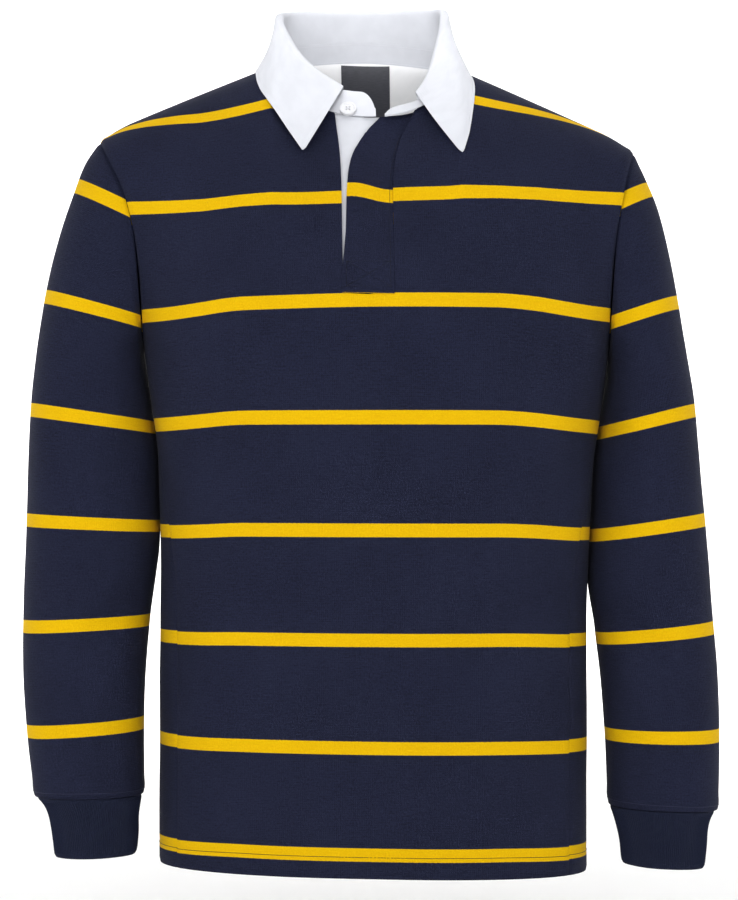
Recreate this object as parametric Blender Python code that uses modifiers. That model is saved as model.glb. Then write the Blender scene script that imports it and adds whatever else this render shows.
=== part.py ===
"""Rugby shirt, filled out as it hangs on a wearer, with nobody in it.

The cloth pieces are the cut panels of the real shirt. Each is a grid laid on the garment's form and given its
wall by Solidify. Sizes below are in millimetres and are scaled to metres as a mesh is placed.

Frame: the front faces -Y, +X is the wearer's left, +Z is up. The origin is at the middle of the neck, at the
level where the shoulders carry the shirt.
"""

from math import asin, cos, pi, radians, sin, sqrt

import bmesh
import bpy
from mathutils import Vector

MM = 0.001
WALL = 2.0  # heavy knit
TRIM_WALL = 1.4  # collar twill
SEAM = 0.45  # each edge of a piece stands back this far from its seam

# Torso below the underarm: half width and half depth at each level, rounded-box sections
HEM_Z = -728.0
CHEST_Z = -250.0
SECTION_POWER = 2.4
TORSO = [  # level, half width, half depth
    (-728.0, 198.0, 112.0),
    (-600.0, 198.0, 113.0),
    (-437.0, 198.5, 117.0),
    (-350.0, 202.0, 121.0),
    (-300.0, 209.0, 124.0),
    (-250.0, 215.0, 126.0),
]
SIDE_SEAM_TURN = radians(28)  # the side seams hang this far round towards the front
SIDE_SEAM_SETTLED_Z = -500.0

# Yoke: the torso above the underarm, up to the neck, the shoulder ridge and the armholes
CHEST_HALF = 215.0
SHOULDER_SPREAD = 32.6
NECK_COLUMN = 0.385  # the panel column, as a share of the half width, that ends at the neck point
RIDGE_TOP = 11.0
RIDGE_SLOPE = 0.41
RIDGE_SAG = 0.0001
TIP_DROP = (215.0, 5.0)  # past this x the shoulder rounds down by this much at its tip
ARMHOLE_HALF_DEPTH = 58.0
NECK_FRONT = (66.0, -54.0, 1.15)  # reach forward, rise above the neck points, how late it rises
NECK_BACK = (68.0, 13.0, 2.2)
CHEST_CURVE = (0.50, 0.52)  # how early the yoke slopes to its top edge, at the middle and the shoulder
BACK_CURVE = (0.42, 0.50)
SHOULDER_GAP = 1.8  # the sleeve head turns down here, so its wall needs more room

# Placket opening, a little to the wearer's right of the middle
SLIT_COLUMN = NECK_COLUMN * sin(radians(16.1))
SLIT_FOOT_ROW = 0.205
FRONT_NECK = (0, 16.1, 27, 40, 54, 70, 90)  # the columns that end at the neck
BACK_NECK = (0, 18, 36, 54, 72, 90)
SHOULDERS = (27, 36, 45, 54, 63, 72, 81, 90)  # those that end at the shoulder
SLIT_SPREAD = (6.5, 24.0)  # how far its two sides stand further apart at the neck
PLACKET_FOOT_Z = -204.5
PLACKET_EDGE = [  # level, x of the covering strip's free edge
    (-205.0, -20.0),
    (-150.0, -19.8),
    (-113.0, -18.5),
    (-94.0, -16.8),
    (-81.0, -14.0),
    (-69.0, -8.5),
    (-53.0, 2.3),
    (-38.0, 15.5),
]
UNDER_PLACKET = (-31.0, 13.0)  # its two edges
UNDER_PLACKET_TOP = (-34.0, 16.0)

# How the shirt hangs: the wearer's left shoulder and hem are lower, and the neck leans right
DROP = 0.02
LEAN = 6.0
LEAN_FROM_Z = -400.0
SWAY = [  # level, how far both sides of the chest are over to the wearer's left
    (-728.0, 1.0),
    (-500.0, 1.5),
    (-400.0, 3.0),
    (-320.0, 5.0),
    (-240.0, 6.3),
    (-116.0, 6.3),
    (-60.0, 0.0),
    (80.0, 0.0),
]
SWAY_GROWS = (90.0, 200.0)  # it grows between these widths, and fades again over the sleeves
SWAY_FADES = (203.0, 295.0)

SLEEVE_RINGS = 14
SLEEVE_AROUND = 20
SLEEVE_RIGHT = [  # outer edge x, z; inner edge x, z; half depth, middle y, hollow towards the armhole
    (262.0, -84.0, 217.0, -263.0, 61.0, 0.0, 11.0),
    (279.0, -128.0, 215.5, -273.0, 66.0, 3.0, 6.0),
    (295.0, -182.0, 213.5, -288.0, 70.0, 6.0, 2.0),
    (306.0, -240.0, 210.5, -309.0, 72.0, 8.0, 0.0),
    (314.0, -298.0, 207.0, -336.0, 72.0, 8.0, 0.0),
    (319.0, -360.0, 203.5, -380.0, 70.0, 7.0, 0.0),
    (321.5, -425.0, 201.5, -436.0, 67.0, 4.0, 0.0),
    (323.5, -500.0, 208.0, -505.0, 62.0, -3.0, 0.0),
    (322.0, -575.0, 212.5, -576.0, 57.0, -10.0, 0.0),
    (316.0, -660.0, 212.5, -655.0, 51.0, -17.0, 0.0),
    (307.0, -675.0, 217.5, -671.0, 46.0, -18.0, 0.0),
]
SLEEVE_LEFT = [
    (256.0, -84.0, 217.0, -263.0, 61.0, 0.0, 11.0),
    (273.0, -128.0, 215.5, -273.0, 66.0, 3.0, 6.0),
    (285.0, -182.0, 213.5, -288.0, 70.0, 6.0, 2.0),
    (293.5, -240.0, 210.5, -309.0, 72.0, 8.0, 0.0),
    (301.0, -298.0, 207.0, -336.0, 72.0, 8.0, 0.0),
    (304.5, -360.0, 203.5, -380.0, 70.0, 7.0, 0.0),
    (311.0, -425.0, 201.5, -436.0, 67.0, 4.0, 0.0),
    (316.5, -500.0, 205.5, -505.0, 62.0, -3.0, 0.0),
    (321.0, -575.0, 213.0, -576.0, 57.0, -10.0, 0.0),
    (321.0, -655.0, 219.0, -652.0, 51.0, -17.0, 0.0),
    (315.0, -669.0, 223.5, -667.0, 46.0, -18.0, 0.0),
]
CUFF_RIGHT = [
    (305.5, -677.0, 216.0, -673.0, 45.0, -18.0, 0.0),
    (298.5, -699.0, 217.5, -696.0, 43.0, -19.0, 0.0),
    (294.0, -724.0, 218.5, -720.0, 40.5, -20.0, 0.0),
]
CUFF_LEFT = [
    (313.5, -671.0, 225.0, -669.0, 45.0, -18.0, 0.0),
    (311.0, -697.0, 230.0, -695.0, 43.0, -19.0, 0.0),
    (308.5, -722.0, 232.0, -720.0, 40.5, -20.0, 0.0),
]

# Collar: the stand rises from the neck seam, the leaf rises on from it, folds and falls outside
STAND_HEIGHT = 22.0
STAND_LIFT = 2.3  # its lower edge clears the panels' edges
STAND_ENDS = (-186.0, 168.5)  # degrees round the neck from the middle of the back
LEAF_COLUMNS = 32
LEAF_OFF = 3.0  # the leaf's underside stands this far off the cloth it lies on
ROLL = 3.6  # radius of the fold
COLLAR = [  # degrees round the neck; fold x, y, z; lower edge x, y, z; fullness
    (-166.0, -21.0, -46.0, -17.0, -57.0, -88.0, -78.0, 7.0),
    (-140.0, -44.0, -41.0, 0.0, -72.0, -78.0, -55.0, 8.0),
    (-120.0, -60.5, -32.0, 19.0, -86.0, -70.0, -32.0, 8.0),
    (-100.0, -74.0, -11.0, 47.0, -97.0, -47.0, -14.0, 7.0),
    (-90.0, -77.5, -1.0, 57.0, -101.0, -21.0, 4.0, 6.0),
    (-80.0, -77.0, 9.0, 62.0, -101.5, 2.0, 9.0, 6.0),
    (-50.0, -62.0, 38.0, 68.0, -86.0, 48.0, 16.0, 6.0),
    (0.0, 0.0, 58.0, 72.0, 0.0, 82.0, 18.0, 6.0),
    (50.0, 61.0, 38.0, 71.0, 86.0, 48.0, 15.0, 6.0),
    (80.0, 74.0, 9.0, 66.0, 101.5, 3.0, 9.0, 6.0),
    (90.0, 73.0, -2.0, 57.0, 103.0, -21.0, 3.0, 7.0),
    (100.0, 70.0, -12.0, 45.0, 103.0, -46.0, -14.0, 7.0),
    (118.0, 64.0, -28.0, 22.0, 97.0, -71.0, -43.0, 8.0),
    (132.0, 56.0, -36.0, -2.0, 92.0, -85.0, -62.0, 8.0),
    (146.5, 47.0, -39.0, -21.0, 87.0, -92.0, -78.0, 7.0),
]

BUTTON_RADIUS = 7.6
BUTTON_THICK = 2.8
BUTTON_RIM = 0.7
BUTTON_ANGLE = -169.0  # degrees round the neck
BUTTON_UP = 5.5
LABEL_SIZE = (46.0, 46.0)
LABEL_TOP_Z = 22.0
LABEL_WALL = 1.0
FACING_DEPTH = 92.0
FACING_SHARE = 0.76
COLOURS = {  # sRGB hex, roughness
    "navy": ("282a3f", 0.9),
    "navy_rib": ("232636", 0.95),
    "white": ("ebecf0", 0.85),
    "label": ("414248", 0.8),
    "button": ("f2f2f2", 0.4),
}


def between(a, b, share):
    return a + (b - a) * share


def ease(share):
    share = min(1.0, max(0.0, share))
    return share * share * (3 - 2 * share)


def row_at(table, place):
    """A row between a table's rows, on a smooth curve; place runs from 0 to the last row's number."""
    last = len(table) - 1
    k = min(int(place), last - 1)
    f = place - k
    a, b, c, d = (table[min(max(k + i, 0), last)] for i in (-1, 0, 1, 2))
    return [
        0.5 * (2 * q + (r - p) * f + (2 * p - 5 * q + 4 * r - s) * f * f + (3 * q - p - 3 * r + s) * f**3)
        for p, q, r, s in zip(a, b, c, d)
    ]


def row_for(table, key):
    """The smooth row whose first column is key."""
    last = len(table) - 1
    key = min(max(key, table[0][0]), table[last][0])
    k = next(i for i in range(last) if key <= table[i + 1][0])
    return row_at(table, k + (key - table[k][0]) / (table[k + 1][0] - table[k][0]))


def hang(x, y, z):
    """Where a point of the evenly made shirt lies as it is worn."""
    lean = LEAN * max(0.0, z - LEAN_FROM_Z) / -LEAN_FROM_Z
    grown = ease((abs(x) - SWAY_GROWS[0]) / (SWAY_GROWS[1] - SWAY_GROWS[0]))
    faded = ease((abs(x) - SWAY_FADES[0]) / (SWAY_FADES[1] - SWAY_FADES[0]))
    sway = row_for(SWAY, z)[1] * grown * (1 - faded)
    return Vector((x - lean + sway, y, z - DROP * x)) * MM


def power(value, exponent):
    return abs(value) ** exponent * (1 if value >= 0 else -1)


def neck_half():
    return top_x(NECK_COLUMN)


def top_x(column):
    return column * (CHEST_HALF + SHOULDER_SPREAD * column * column)


def neck_loop(angle):
    """A point of the neck seam, in degrees round from the middle of the back."""
    a = radians(angle)
    reach, rise, late = NECK_BACK if cos(a) > 0 else NECK_FRONT
    side = 1 if cos(a) > 0 else -1
    return Vector((neck_half() * sin(a), side * reach * abs(cos(a)), RIDGE_TOP + rise * abs(cos(a)) ** late))


def edge_at(x, side):
    """The reach and the height of a panel's top edge at x; side is -1 in front, 1 behind."""
    past = abs(x) - neck_half()
    if past < 0:
        reach, rise, late = NECK_BACK if side > 0 else NECK_FRONT
        share = sqrt(1 - (x / neck_half()) ** 2)
        return reach * share, RIDGE_TOP + rise * share**late
    tip = max(0.0, (abs(x) - TIP_DROP[0]) / (top_x(1.0) - TIP_DROP[0]))
    return 0.0, RIDGE_TOP - RIDGE_SLOPE * past - RIDGE_SAG * past * past - TIP_DROP[1] * tip * tip


def slit_spread(column, side):
    """How far the open placket pushes a front column aside at the neck."""
    if side > 0 or column == 0:
        return 0.0
    fade = 1 - ease((abs(column) - SLIT_COLUMN) / (NECK_COLUMN - SLIT_COLUMN))
    return (-SLIT_SPREAD[0] if column < 0 else SLIT_SPREAD[1]) * fade


def yoke(column, row, side):
    """A point above the chest line; row runs from 0 at the chest to 1 at the neck or shoulder."""
    u = abs(column)
    opened = slit_spread(column, side)
    top_reach, top_z = edge_at(top_x(column) + opened, side)
    middle_curve, shoulder_curve = BACK_CURVE if side > 0 else CHEST_CURVE
    curve = between(middle_curve, shoulder_curve, ease(u / 0.6))
    form = TORSO[-1][2] * (1 - row * row) ** curve
    middle = (form**3 + (top_reach * row * row) ** 3) ** (1 / 3)
    arm = ARMHOLE_HALF_DEPTH * 2 * sqrt(max(0.0, row * (1 - row)))
    n = SECTION_POWER
    fade = u**n * (1 - row**8)
    reach = (middle**n - (middle**n - arm**n) * fade) ** (1 / n)
    x = column * (CHEST_HALF + SHOULDER_SPREAD * u * u * row**3) + opened * max(0.0, (row - 0.55) / 0.45) ** 3
    return x, side * reach, CHEST_Z + row * (top_z - CHEST_Z)


def trunk(column, z, side):
    """A point at or below the chest line."""
    _, half_width, half_depth = row_for(TORSO, z)
    settled = ease((CHEST_Z - z) / (CHEST_Z - SIDE_SEAM_SETTLED_Z))
    quarter = pi / 2 + side * SIDE_SEAM_TURN * settled
    angle = asin(abs(column) ** (SECTION_POWER / 2)) * quarter / (pi / 2)
    return (
        power(column, 0) * half_width * power(sin(angle), 2 / SECTION_POWER),
        side * half_depth * power(cos(angle), 2 / SECTION_POWER),
        z,
    )


def torso(column, level, side):
    """A point of the front or back panel; level is 0 at the hem, 1 at the chest, 2 at the top edge."""
    if level <= 1:
        return trunk(column, between(HEM_Z, CHEST_Z, level), side)
    return yoke(column, level - 1, side)


def armhole(angle):
    """A point of the armhole seam of the side where x is positive; 0 is the underarm, pi the shoulder."""
    row = (1 - cos(angle)) / 2
    x, _, z = yoke(1.0, row, 1)
    return Vector((x, -ARMHOLE_HALF_DEPTH * sin(angle), z))


def ring_point(row, angle):
    outer_x, outer_z, inner_x, inner_z, half_depth, middle, hollow = row
    share = (1 - power(cos(angle), 0.92)) / 2
    side = power(sin(angle), 0.92)
    return Vector((
        between(inner_x, outer_x, share) - hollow * side * side,
        middle - half_depth * side,
        between(inner_z, outer_z, share),
    ))


def wrap_material(obj, key):
    colour, rough = COLOURS[key]
    material = bpy.data.materials.get(key) or bpy.data.materials.new(key)
    material.use_nodes = True
    shader = material.node_tree.nodes["Principled BSDF"]
    rgb = [int(colour[i : i + 2], 16) / 255 for i in (0, 2, 4)]
    linear = [c / 12.92 if c <= 0.04045 else ((c + 0.055) / 1.055) ** 2.4 for c in rgb]
    shader.inputs["Base Color"].default_value = (*linear, 1)
    shader.inputs["Roughness"].default_value = rough
    obj.data.materials.append(material)


def sheet(name, key, columns, rows, place, wall=WALL, keep=None, closed=False, flip=False):
    """Lay a grid on the form: place(column, row) gives each point, and Solidify the wall behind it."""
    bm = bmesh.new()
    bmesh.ops.create_grid(bm, x_segments=len(columns) - 1, y_segments=len(rows) - 1, size=1)
    spots = {}
    for v in bm.verts:
        i = round((v.co.x + 1) / 2 * (len(columns) - 1))
        j = round((v.co.y + 1) / 2 * (len(rows) - 1))
        spots[v] = (columns[i], rows[j])
    if keep:
        gone = [f for f in bm.faces if not keep(*(sum(spots[v][k] for v in f.verts) / 4 for k in (0, 1)))]
        bmesh.ops.delete(bm, geom=gone, context="FACES")
    for v in bm.verts:
        v.co = place(*spots[v])
    if closed:
        bmesh.ops.remove_doubles(bm, verts=bm.verts, dist=0.00001)
    pull_in_edges(bm)
    if flip:
        bmesh.ops.reverse_faces(bm, faces=bm.faces)
    mesh = bpy.data.meshes.new(name)
    bm.to_mesh(mesh)
    bm.free()
    mesh.shade_smooth()
    obj = bpy.data.objects.new(name, mesh)
    shirt.objects.link(obj)
    solid = obj.modifiers.new("Wall", "SOLIDIFY")
    solid.thickness = wall * MM
    solid.offset = -1
    wrap_material(obj, key)
    return obj


def pull_in_edges(bm):
    """Stand every edge of a piece back from its seam line, within the cloth."""
    moves = {}
    for v in bm.verts:
        if v.is_boundary:
            inner = [e.other_vert(v) for e in v.link_edges if not e.is_boundary]
            if inner:
                moves[v] = sum(((w.co - v.co).normalized() for w in inner), Vector()) / len(inner)
            else:
                moves[v] = sum(((e.other_vert(v).co - v.co).normalized() for e in v.link_edges), Vector())
    for v, way in moves.items():
        v.co += way * SEAM * MM


def mirrored(values):
    return [-v for v in reversed(values) if v > 0] + list(values)


def body_panels():
    def columns(neck_angles):
        neck = [NECK_COLUMN * sin(radians(a)) for a in neck_angles]
        return mirrored(neck + [sin(radians(a)) ** (2 / SECTION_POWER) for a in SHOULDERS])

    low = [k / 9 for k in range(9)]
    high = [1 + t for t in (0, 0.1, SLIT_FOOT_ROW, 0.33, 0.46, 0.58, 0.69, 0.79, 0.87, 0.93, 0.97, 0.991, 1.0)]

    def outside_slit(column, level):
        return abs(column) > SLIT_COLUMN or level < 1 + SLIT_FOOT_ROW

    sheet("front", "navy", columns(FRONT_NECK), low + high, lambda c, r: hang(*torso(c, r, -1)), keep=outside_slit)
    sheet("back", "navy", columns(BACK_NECK), low + high, lambda c, r: hang(*torso(c, r, 1)), flip=True)


def sleeve(name, table, hand):
    around = [2 * pi * k / SLEEVE_AROUND for k in range(SLEEVE_AROUND + 1)]
    rings = [k / SLEEVE_RINGS for k in range(SLEEVE_RINGS + 1)]

    def place(angle, ring):
        if ring == 0:
            seam = armhole(angle)
            way = (ring_point(table[0], angle) - seam).normalized()
            point = seam + way * between(SEAM, SHOULDER_GAP, ((1 - cos(angle)) / 2) ** 6)
        else:
            place_in_table = (ring * SLEEVE_RINGS - 1) / (SLEEVE_RINGS - 1) * (len(table) - 1)
            point = ring_point(row_at(table, place_in_table), angle)
        return hang(hand * point.x, point.y, point.z)

    sheet(name, "navy", around, rings, place, closed=True, flip=hand > 0)


def cuff(name, table, hand):
    around = [2 * pi * k / SLEEVE_AROUND for k in range(SLEEVE_AROUND + 1)]

    def place(angle, row):
        point = ring_point(row_at(table, row), angle)
        return hang(hand * point.x, point.y, point.z)

    sheet(name, "navy_rib", around, [0, 1, 2], place, closed=True, flip=hand > 0)


def stand_top(angle):
    """The stand's top edge: up from the neck seam towards the fold."""
    seam = neck_loop(angle)
    _, x, y, z, *_ = row_for(COLLAR, angle)
    first, last = COLLAR[0][0], COLLAR[-1][0]
    end = min(max(angle, first), last)
    rise = Vector((x, y, z)) - neck_loop(end)
    return seam + rise * min(STAND_HEIGHT / rise.length, 0.8)


def body_reach(x, z, side):
    """How far the body's cloth stands forward or back of the middle at x and z, or None above it."""
    column = x / CHEST_HALF
    for _ in range(12):
        row = (z - CHEST_Z) / (edge_at(x, side)[1] - CHEST_Z)
        if row >= 1:
            return None
        row = max(row, 0.0)
        column = x / (CHEST_HALF + SHOULDER_SPREAD * column * column * row**3)
    return abs(yoke(column, row, side)[1])


def on_body(x, z, side, out):
    """A point on the front or back at x and z, moved out from the cloth's face."""
    reach = body_reach(x, min(z, edge_at(x, side)[1] - 0.01), side)
    return hang(x, side * (reach + out), z)


def clear_of_body(point, stand_off):
    """The point, moved forward or back where it would lie on or in the body's cloth."""
    side = -1 if point.y < 0 else 1
    reach = body_reach(point.x, point.z, side)
    if reach is not None and abs(point.y) < reach + stand_off:
        point.y = side * (reach + stand_off)
    return point


def collar():
    first, last = STAND_ENDS
    round_end = 9.0

    def stand(angle, row):
        near = min(angle - first, last - angle)
        share = row if near > round_end else row * sqrt(max(0.12, 1 - (1 - near / round_end) ** 2))
        seam, top = neck_loop(angle), stand_top(angle)
        lift = Vector((0, 0, STAND_LIFT)) * (1 - row)
        return hang(*(seam + lift + (top - seam) * between(0.04, 1, share)))

    leaf_angles = [between(COLLAR[0][0], COLLAR[-1][0], k / LEAF_COLUMNS) for k in range(LEAF_COLUMNS + 1)]
    right_end = [first, first + 1.5, first + 4, first + round_end, first + 15]
    left_end = [last - 15, last - round_end, last - 4, last - 1.5, last]
    sheet("collar_stand", "white", right_end + leaf_angles + left_end, [0, 0.5, 1], stand, wall=TRIM_WALL, flip=True)

    def leaf(angle, row):
        _, fx, fy, fz, ex, ey, ez, full = row_for(COLLAR, angle)
        fold, edge, base = Vector((fx, fy, fz)), Vector((ex, ey, ez)), stand_top(angle)
        rise = (fold - base).normalized()
        out = rise.cross(neck_loop(angle + 2) - neck_loop(angle - 2)).normalized()
        if row <= 2:
            point = between(base, fold + out * 0.8, row / 2)
        else:
            share = (row - 3) / 3
            start = fold + (out * 1.8 - rise * 0.5) * ROLL
            point = between(start, edge, share) + out * full * sin(pi * share)
            point = clear_of_body(point, LEAF_OFF)
        return hang(*point)

    sheet("collar_leaf", "white", leaf_angles, [0, 1, 2, 3, 4, 5, 6], leaf, wall=TRIM_WALL, flip=True)


def placket():
    def top_strip(across, up):
        top = edge_at(between(15.5, 44.0, across), -1)[1]
        z = between(PLACKET_FOOT_Z, top, up)
        opened = SLIT_SPREAD[1] * max(0.0, (up - 0.42) / 0.58) ** 3
        right = top_x(SLIT_COLUMN) + opened - 2 * SEAM
        left = row_for(PLACKET_EDGE, z)[1]
        x = between(left, right, across)
        return on_body(x, min(z, edge_at(x, -1)[1]), -1, 1.4)

    def under_strip(across, up):
        x = between(*(between(a, b, up**3) for a, b in zip(UNDER_PLACKET, UNDER_PLACKET_TOP)), across)
        z = between(PLACKET_FOOT_Z + 3, edge_at(x, -1)[1], up)
        return on_body(x, z, -1, -WALL - 0.8)

    ups = [k / 12 for k in range(13)]
    sheet("placket_top", "navy", [0, 0.33, 0.67, 1], ups, top_strip)
    sheet("placket_under", "white", [0, 0.33, 0.67, 1], ups, under_strip, wall=TRIM_WALL)


def neck_inside():
    wide = neck_half() * FACING_SHARE

    def facing(across, down):
        x = across * wide
        top = edge_at(x, 1)[1]
        return on_body(x, top - 0.8 - down * (FACING_DEPTH * sqrt(1 - 0.98 * across * across)), 1, -WALL - 2.9)

    def label(across, down):
        x = across * LABEL_SIZE[0] / 2
        return on_body(x, LABEL_TOP_Z - down * LABEL_SIZE[1], 1, -WALL - TRIM_WALL - 3.6)

    across = [sin(radians(a)) for a in range(-90, 91, 15)]
    downs = [1, 0.75, 0.5, 0.25, 0]
    sheet("neck_facing", "white", across, downs, facing, wall=TRIM_WALL, flip=True)
    sheet("label", "label", [-1, 0, 1], downs, label, wall=LABEL_WALL, flip=True)


def button():
    seam, top = neck_loop(BUTTON_ANGLE), stand_top(BUTTON_ANGLE)
    rise = (top - seam).normalized()
    along = (neck_loop(BUTTON_ANGLE + 2) - neck_loop(BUTTON_ANGLE - 2)).normalized()
    face = rise.cross(along).normalized()
    if face.y > 0:
        face = -face
    centre = seam + rise * BUTTON_UP + face * (BUTTON_THICK / 2 + 1.8)
    bpy.ops.mesh.primitive_cylinder_add(vertices=24, radius=BUTTON_RADIUS * MM, depth=BUTTON_THICK * MM)
    disc = bpy.context.object
    disc.name = "collar_button"
    disc.location = hang(*centre)
    disc.rotation_euler = face.to_track_quat("Z", "Y").to_euler()
    bevel = disc.modifiers.new("Rim", "BEVEL")
    bevel.width = BUTTON_RIM * MM
    bevel.segments = 2
    wrap_material(disc, "button")
    for holder in list(disc.users_collection):
        holder.objects.unlink(disc)
    shirt.objects.link(disc)


def build():
    body_panels()
    sleeve("sleeve_left", SLEEVE_LEFT, 1)
    sleeve("sleeve_right", SLEEVE_RIGHT, -1)
    cuff("cuff_left", CUFF_LEFT, 1)
    cuff("cuff_right", CUFF_RIGHT, -1)
    collar()
    placket()
    neck_inside()
    button()


for old in list(bpy.data.objects):
    bpy.data.objects.remove(old)
shirt = bpy.data.collections.new("rugby_shirt")
bpy.context.scene.collection.children.link(shirt)
build()
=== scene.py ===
"""Rugby shirt, finished: knitted cloth with gold stripes, ribbed cuffs, twill collar, stitching and button.

The cloth pieces are laid on the same form as the frame's solids. Lengths on the form are in millimetres and
are turned to metres as a piece is hung. The front faces -Y, +X is the wearer's left, +Z is up.
"""

from math import asin, ceil, cos, pi, radians, sin, sqrt

import bmesh
import bpy
import numpy as np
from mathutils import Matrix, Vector, noise


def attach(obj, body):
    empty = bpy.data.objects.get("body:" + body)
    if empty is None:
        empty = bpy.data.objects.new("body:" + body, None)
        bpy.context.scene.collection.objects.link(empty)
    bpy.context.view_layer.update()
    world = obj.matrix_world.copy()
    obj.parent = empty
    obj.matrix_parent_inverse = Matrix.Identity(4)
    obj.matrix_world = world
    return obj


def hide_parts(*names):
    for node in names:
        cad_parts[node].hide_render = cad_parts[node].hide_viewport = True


bl_info = {
    "name": "Rugby Shirt",
    "version": (1, 0, 0),
    "blender": (4, 5, 0),
    "location": "View3D > Sidebar > Rugby Shirt",
    "description": "Lays, stitches and lights a striped rugby shirt on its frame",
    "category": "Add Mesh",
}

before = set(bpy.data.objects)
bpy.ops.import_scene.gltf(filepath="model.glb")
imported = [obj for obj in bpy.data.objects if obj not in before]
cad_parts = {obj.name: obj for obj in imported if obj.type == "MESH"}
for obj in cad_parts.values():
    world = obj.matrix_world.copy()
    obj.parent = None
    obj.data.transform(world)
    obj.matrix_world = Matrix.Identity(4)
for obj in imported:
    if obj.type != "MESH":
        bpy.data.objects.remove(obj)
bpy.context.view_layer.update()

MM = 0.001
SETTINGS_NAME = "rugby_shirt"

# ---- The form the cloth hangs on, the same as the frame's ----

HEM_Z = -728.0
CHEST_Z = -250.0
SECTION_POWER = 2.4
TORSO = [  # level, half width, half depth
    (-728.0, 198.0, 112.0),
    (-600.0, 198.0, 113.0),
    (-437.0, 198.5, 117.0),
    (-350.0, 202.0, 121.0),
    (-300.0, 209.0, 124.0),
    (-250.0, 215.0, 126.0),
]
SIDE_SEAM_TURN = radians(28)
SIDE_SEAM_SETTLED_Z = -500.0
CHEST_HALF = 215.0
SHOULDER_SPREAD = 32.6
NECK_COLUMN = 0.385
RIDGE_TOP = 11.0
RIDGE_SLOPE = 0.41
RIDGE_SAG = 0.0001
TIP_DROP = (215.0, 5.0)
ARMHOLE_HALF_DEPTH = 58.0
NECK_FRONT = (66.0, -54.0, 1.15)  # reach, rise above the neck points, how late it rises
NECK_BACK = (68.0, 13.0, 2.2)
CHEST_CURVE = (0.50, 0.52)
BACK_CURVE = (0.42, 0.50)
SLIT_COLUMN = NECK_COLUMN * sin(radians(16.1))
SLIT_FOOT_ROW = 0.205
SLIT_SPREAD = (6.5, 24.0)
PLACKET_FOOT_Z = -206.6
PLACKET_EDGE = [  # level, x of the covering strip's free edge
    (-207.0, -23.6),
    (-185.0, -23.2),
    (-170.0, -21.6),
    (-150.0, -19.8),
    (-113.0, -18.5),
    (-94.0, -16.8),
    (-81.0, -14.0),
    (-69.0, -8.5),
    (-53.0, 2.3),
    (-38.0, 15.5),
]
UNDER_PLACKET = (-31.0, 13.0)
UNDER_PLACKET_TOP = (-34.0, 16.0)
DROP = 0.02
LEAN = 6.0
LEAN_FROM_Z = -400.0
SWAY = [  # level, how far both sides of the chest are over to the wearer's left
    (-728.0, 1.0),
    (-500.0, 1.5),
    (-400.0, 3.0),
    (-320.0, 5.0),
    (-240.0, 6.3),
    (-116.0, 6.3),
    (-60.0, 0.0),
    (80.0, 0.0),
]
SWAY_GROWS = (90.0, 200.0)
SWAY_FADES = (203.0, 295.0)

SLEEVE_RINGS = 14
SLEEVE_RIGHT = [  # outer edge x, z; inner edge x, z; half depth, middle y, hollow towards the armhole
    (262.0, -84.0, 217.0, -263.0, 61.0, 0.0, 11.0),
    (279.0, -128.0, 215.5, -273.0, 66.0, 3.0, 6.0),
    (295.0, -182.0, 213.5, -288.0, 70.0, 6.0, 2.0),
    (306.0, -240.0, 210.5, -309.0, 72.0, 8.0, 0.0),
    (314.0, -298.0, 207.0, -336.0, 72.0, 8.0, 0.0),
    (319.0, -360.0, 203.5, -380.0, 70.0, 7.0, 0.0),
    (321.5, -425.0, 201.5, -436.0, 67.0, 4.0, 0.0),
    (323.5, -500.0, 208.0, -505.0, 62.0, -3.0, 0.0),
    (322.0, -575.0, 212.5, -576.0, 57.0, -10.0, 0.0),
    (313.5, -655.0, 211.5, -652.0, 51.0, -17.0, 0.0),
    (310.0, -668.5, 213.5, -665.0, 48.5, -18.0, 0.0),
]
SLEEVE_LEFT = [
    (256.0, -84.0, 217.0, -263.0, 61.0, 0.0, 11.0),
    (273.0, -128.0, 215.5, -273.0, 66.0, 3.0, 6.0),
    (285.0, -182.0, 213.5, -288.0, 70.0, 6.0, 2.0),
    (293.5, -240.0, 210.5, -309.0, 72.0, 8.0, 0.0),
    (301.0, -298.0, 207.0, -336.0, 72.0, 8.0, 0.0),
    (304.5, -360.0, 203.5, -380.0, 70.0, 7.0, 0.0),
    (311.0, -425.0, 201.5, -436.0, 67.0, 4.0, 0.0),
    (316.5, -500.0, 205.5, -505.0, 62.0, -3.0, 0.0),
    (321.0, -575.0, 213.0, -576.0, 57.0, -10.0, 0.0),
    (320.0, -655.0, 216.5, -652.0, 51.0, -17.0, 0.0),
    (317.0, -668.5, 218.0, -666.5, 48.5, -18.0, 0.0),
]
CUFF_RIGHT = [
    (309.0, -669.5, 214.0, -666.0, 48.0, -18.0, 0.0),
    (302.5, -678.0, 215.6, -676.0, 45.5, -18.5, 0.0),
    (297.8, -688.0, 216.8, -686.0, 44.0, -19.0, 0.0),
    (294.6, -703.0, 217.2, -701.0, 42.5, -19.5, 0.0),
    (292.0, -724.0, 218.5, -720.0, 40.5, -20.0, 0.0),
]
CUFF_LEFT = [
    (316.0, -669.5, 218.8, -667.5, 48.0, -18.0, 0.0),
    (311.5, -678.5, 222.4, -677.0, 45.5, -18.5, 0.0),
    (309.2, -688.0, 225.3, -687.0, 44.0, -19.0, 0.0),
    (308.0, -702.0, 228.4, -701.0, 42.5, -19.5, 0.0),
    (306.5, -722.0, 230.5, -720.0, 40.5, -20.0, 0.0),
]
STAND_HEIGHT = 22.0
STAND_ENDS = (-186.0, 168.5)
STAND_ROUND_END = 9.0  # degrees over which the band's ends are rounded
LEAF_OFF = 2.2
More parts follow.
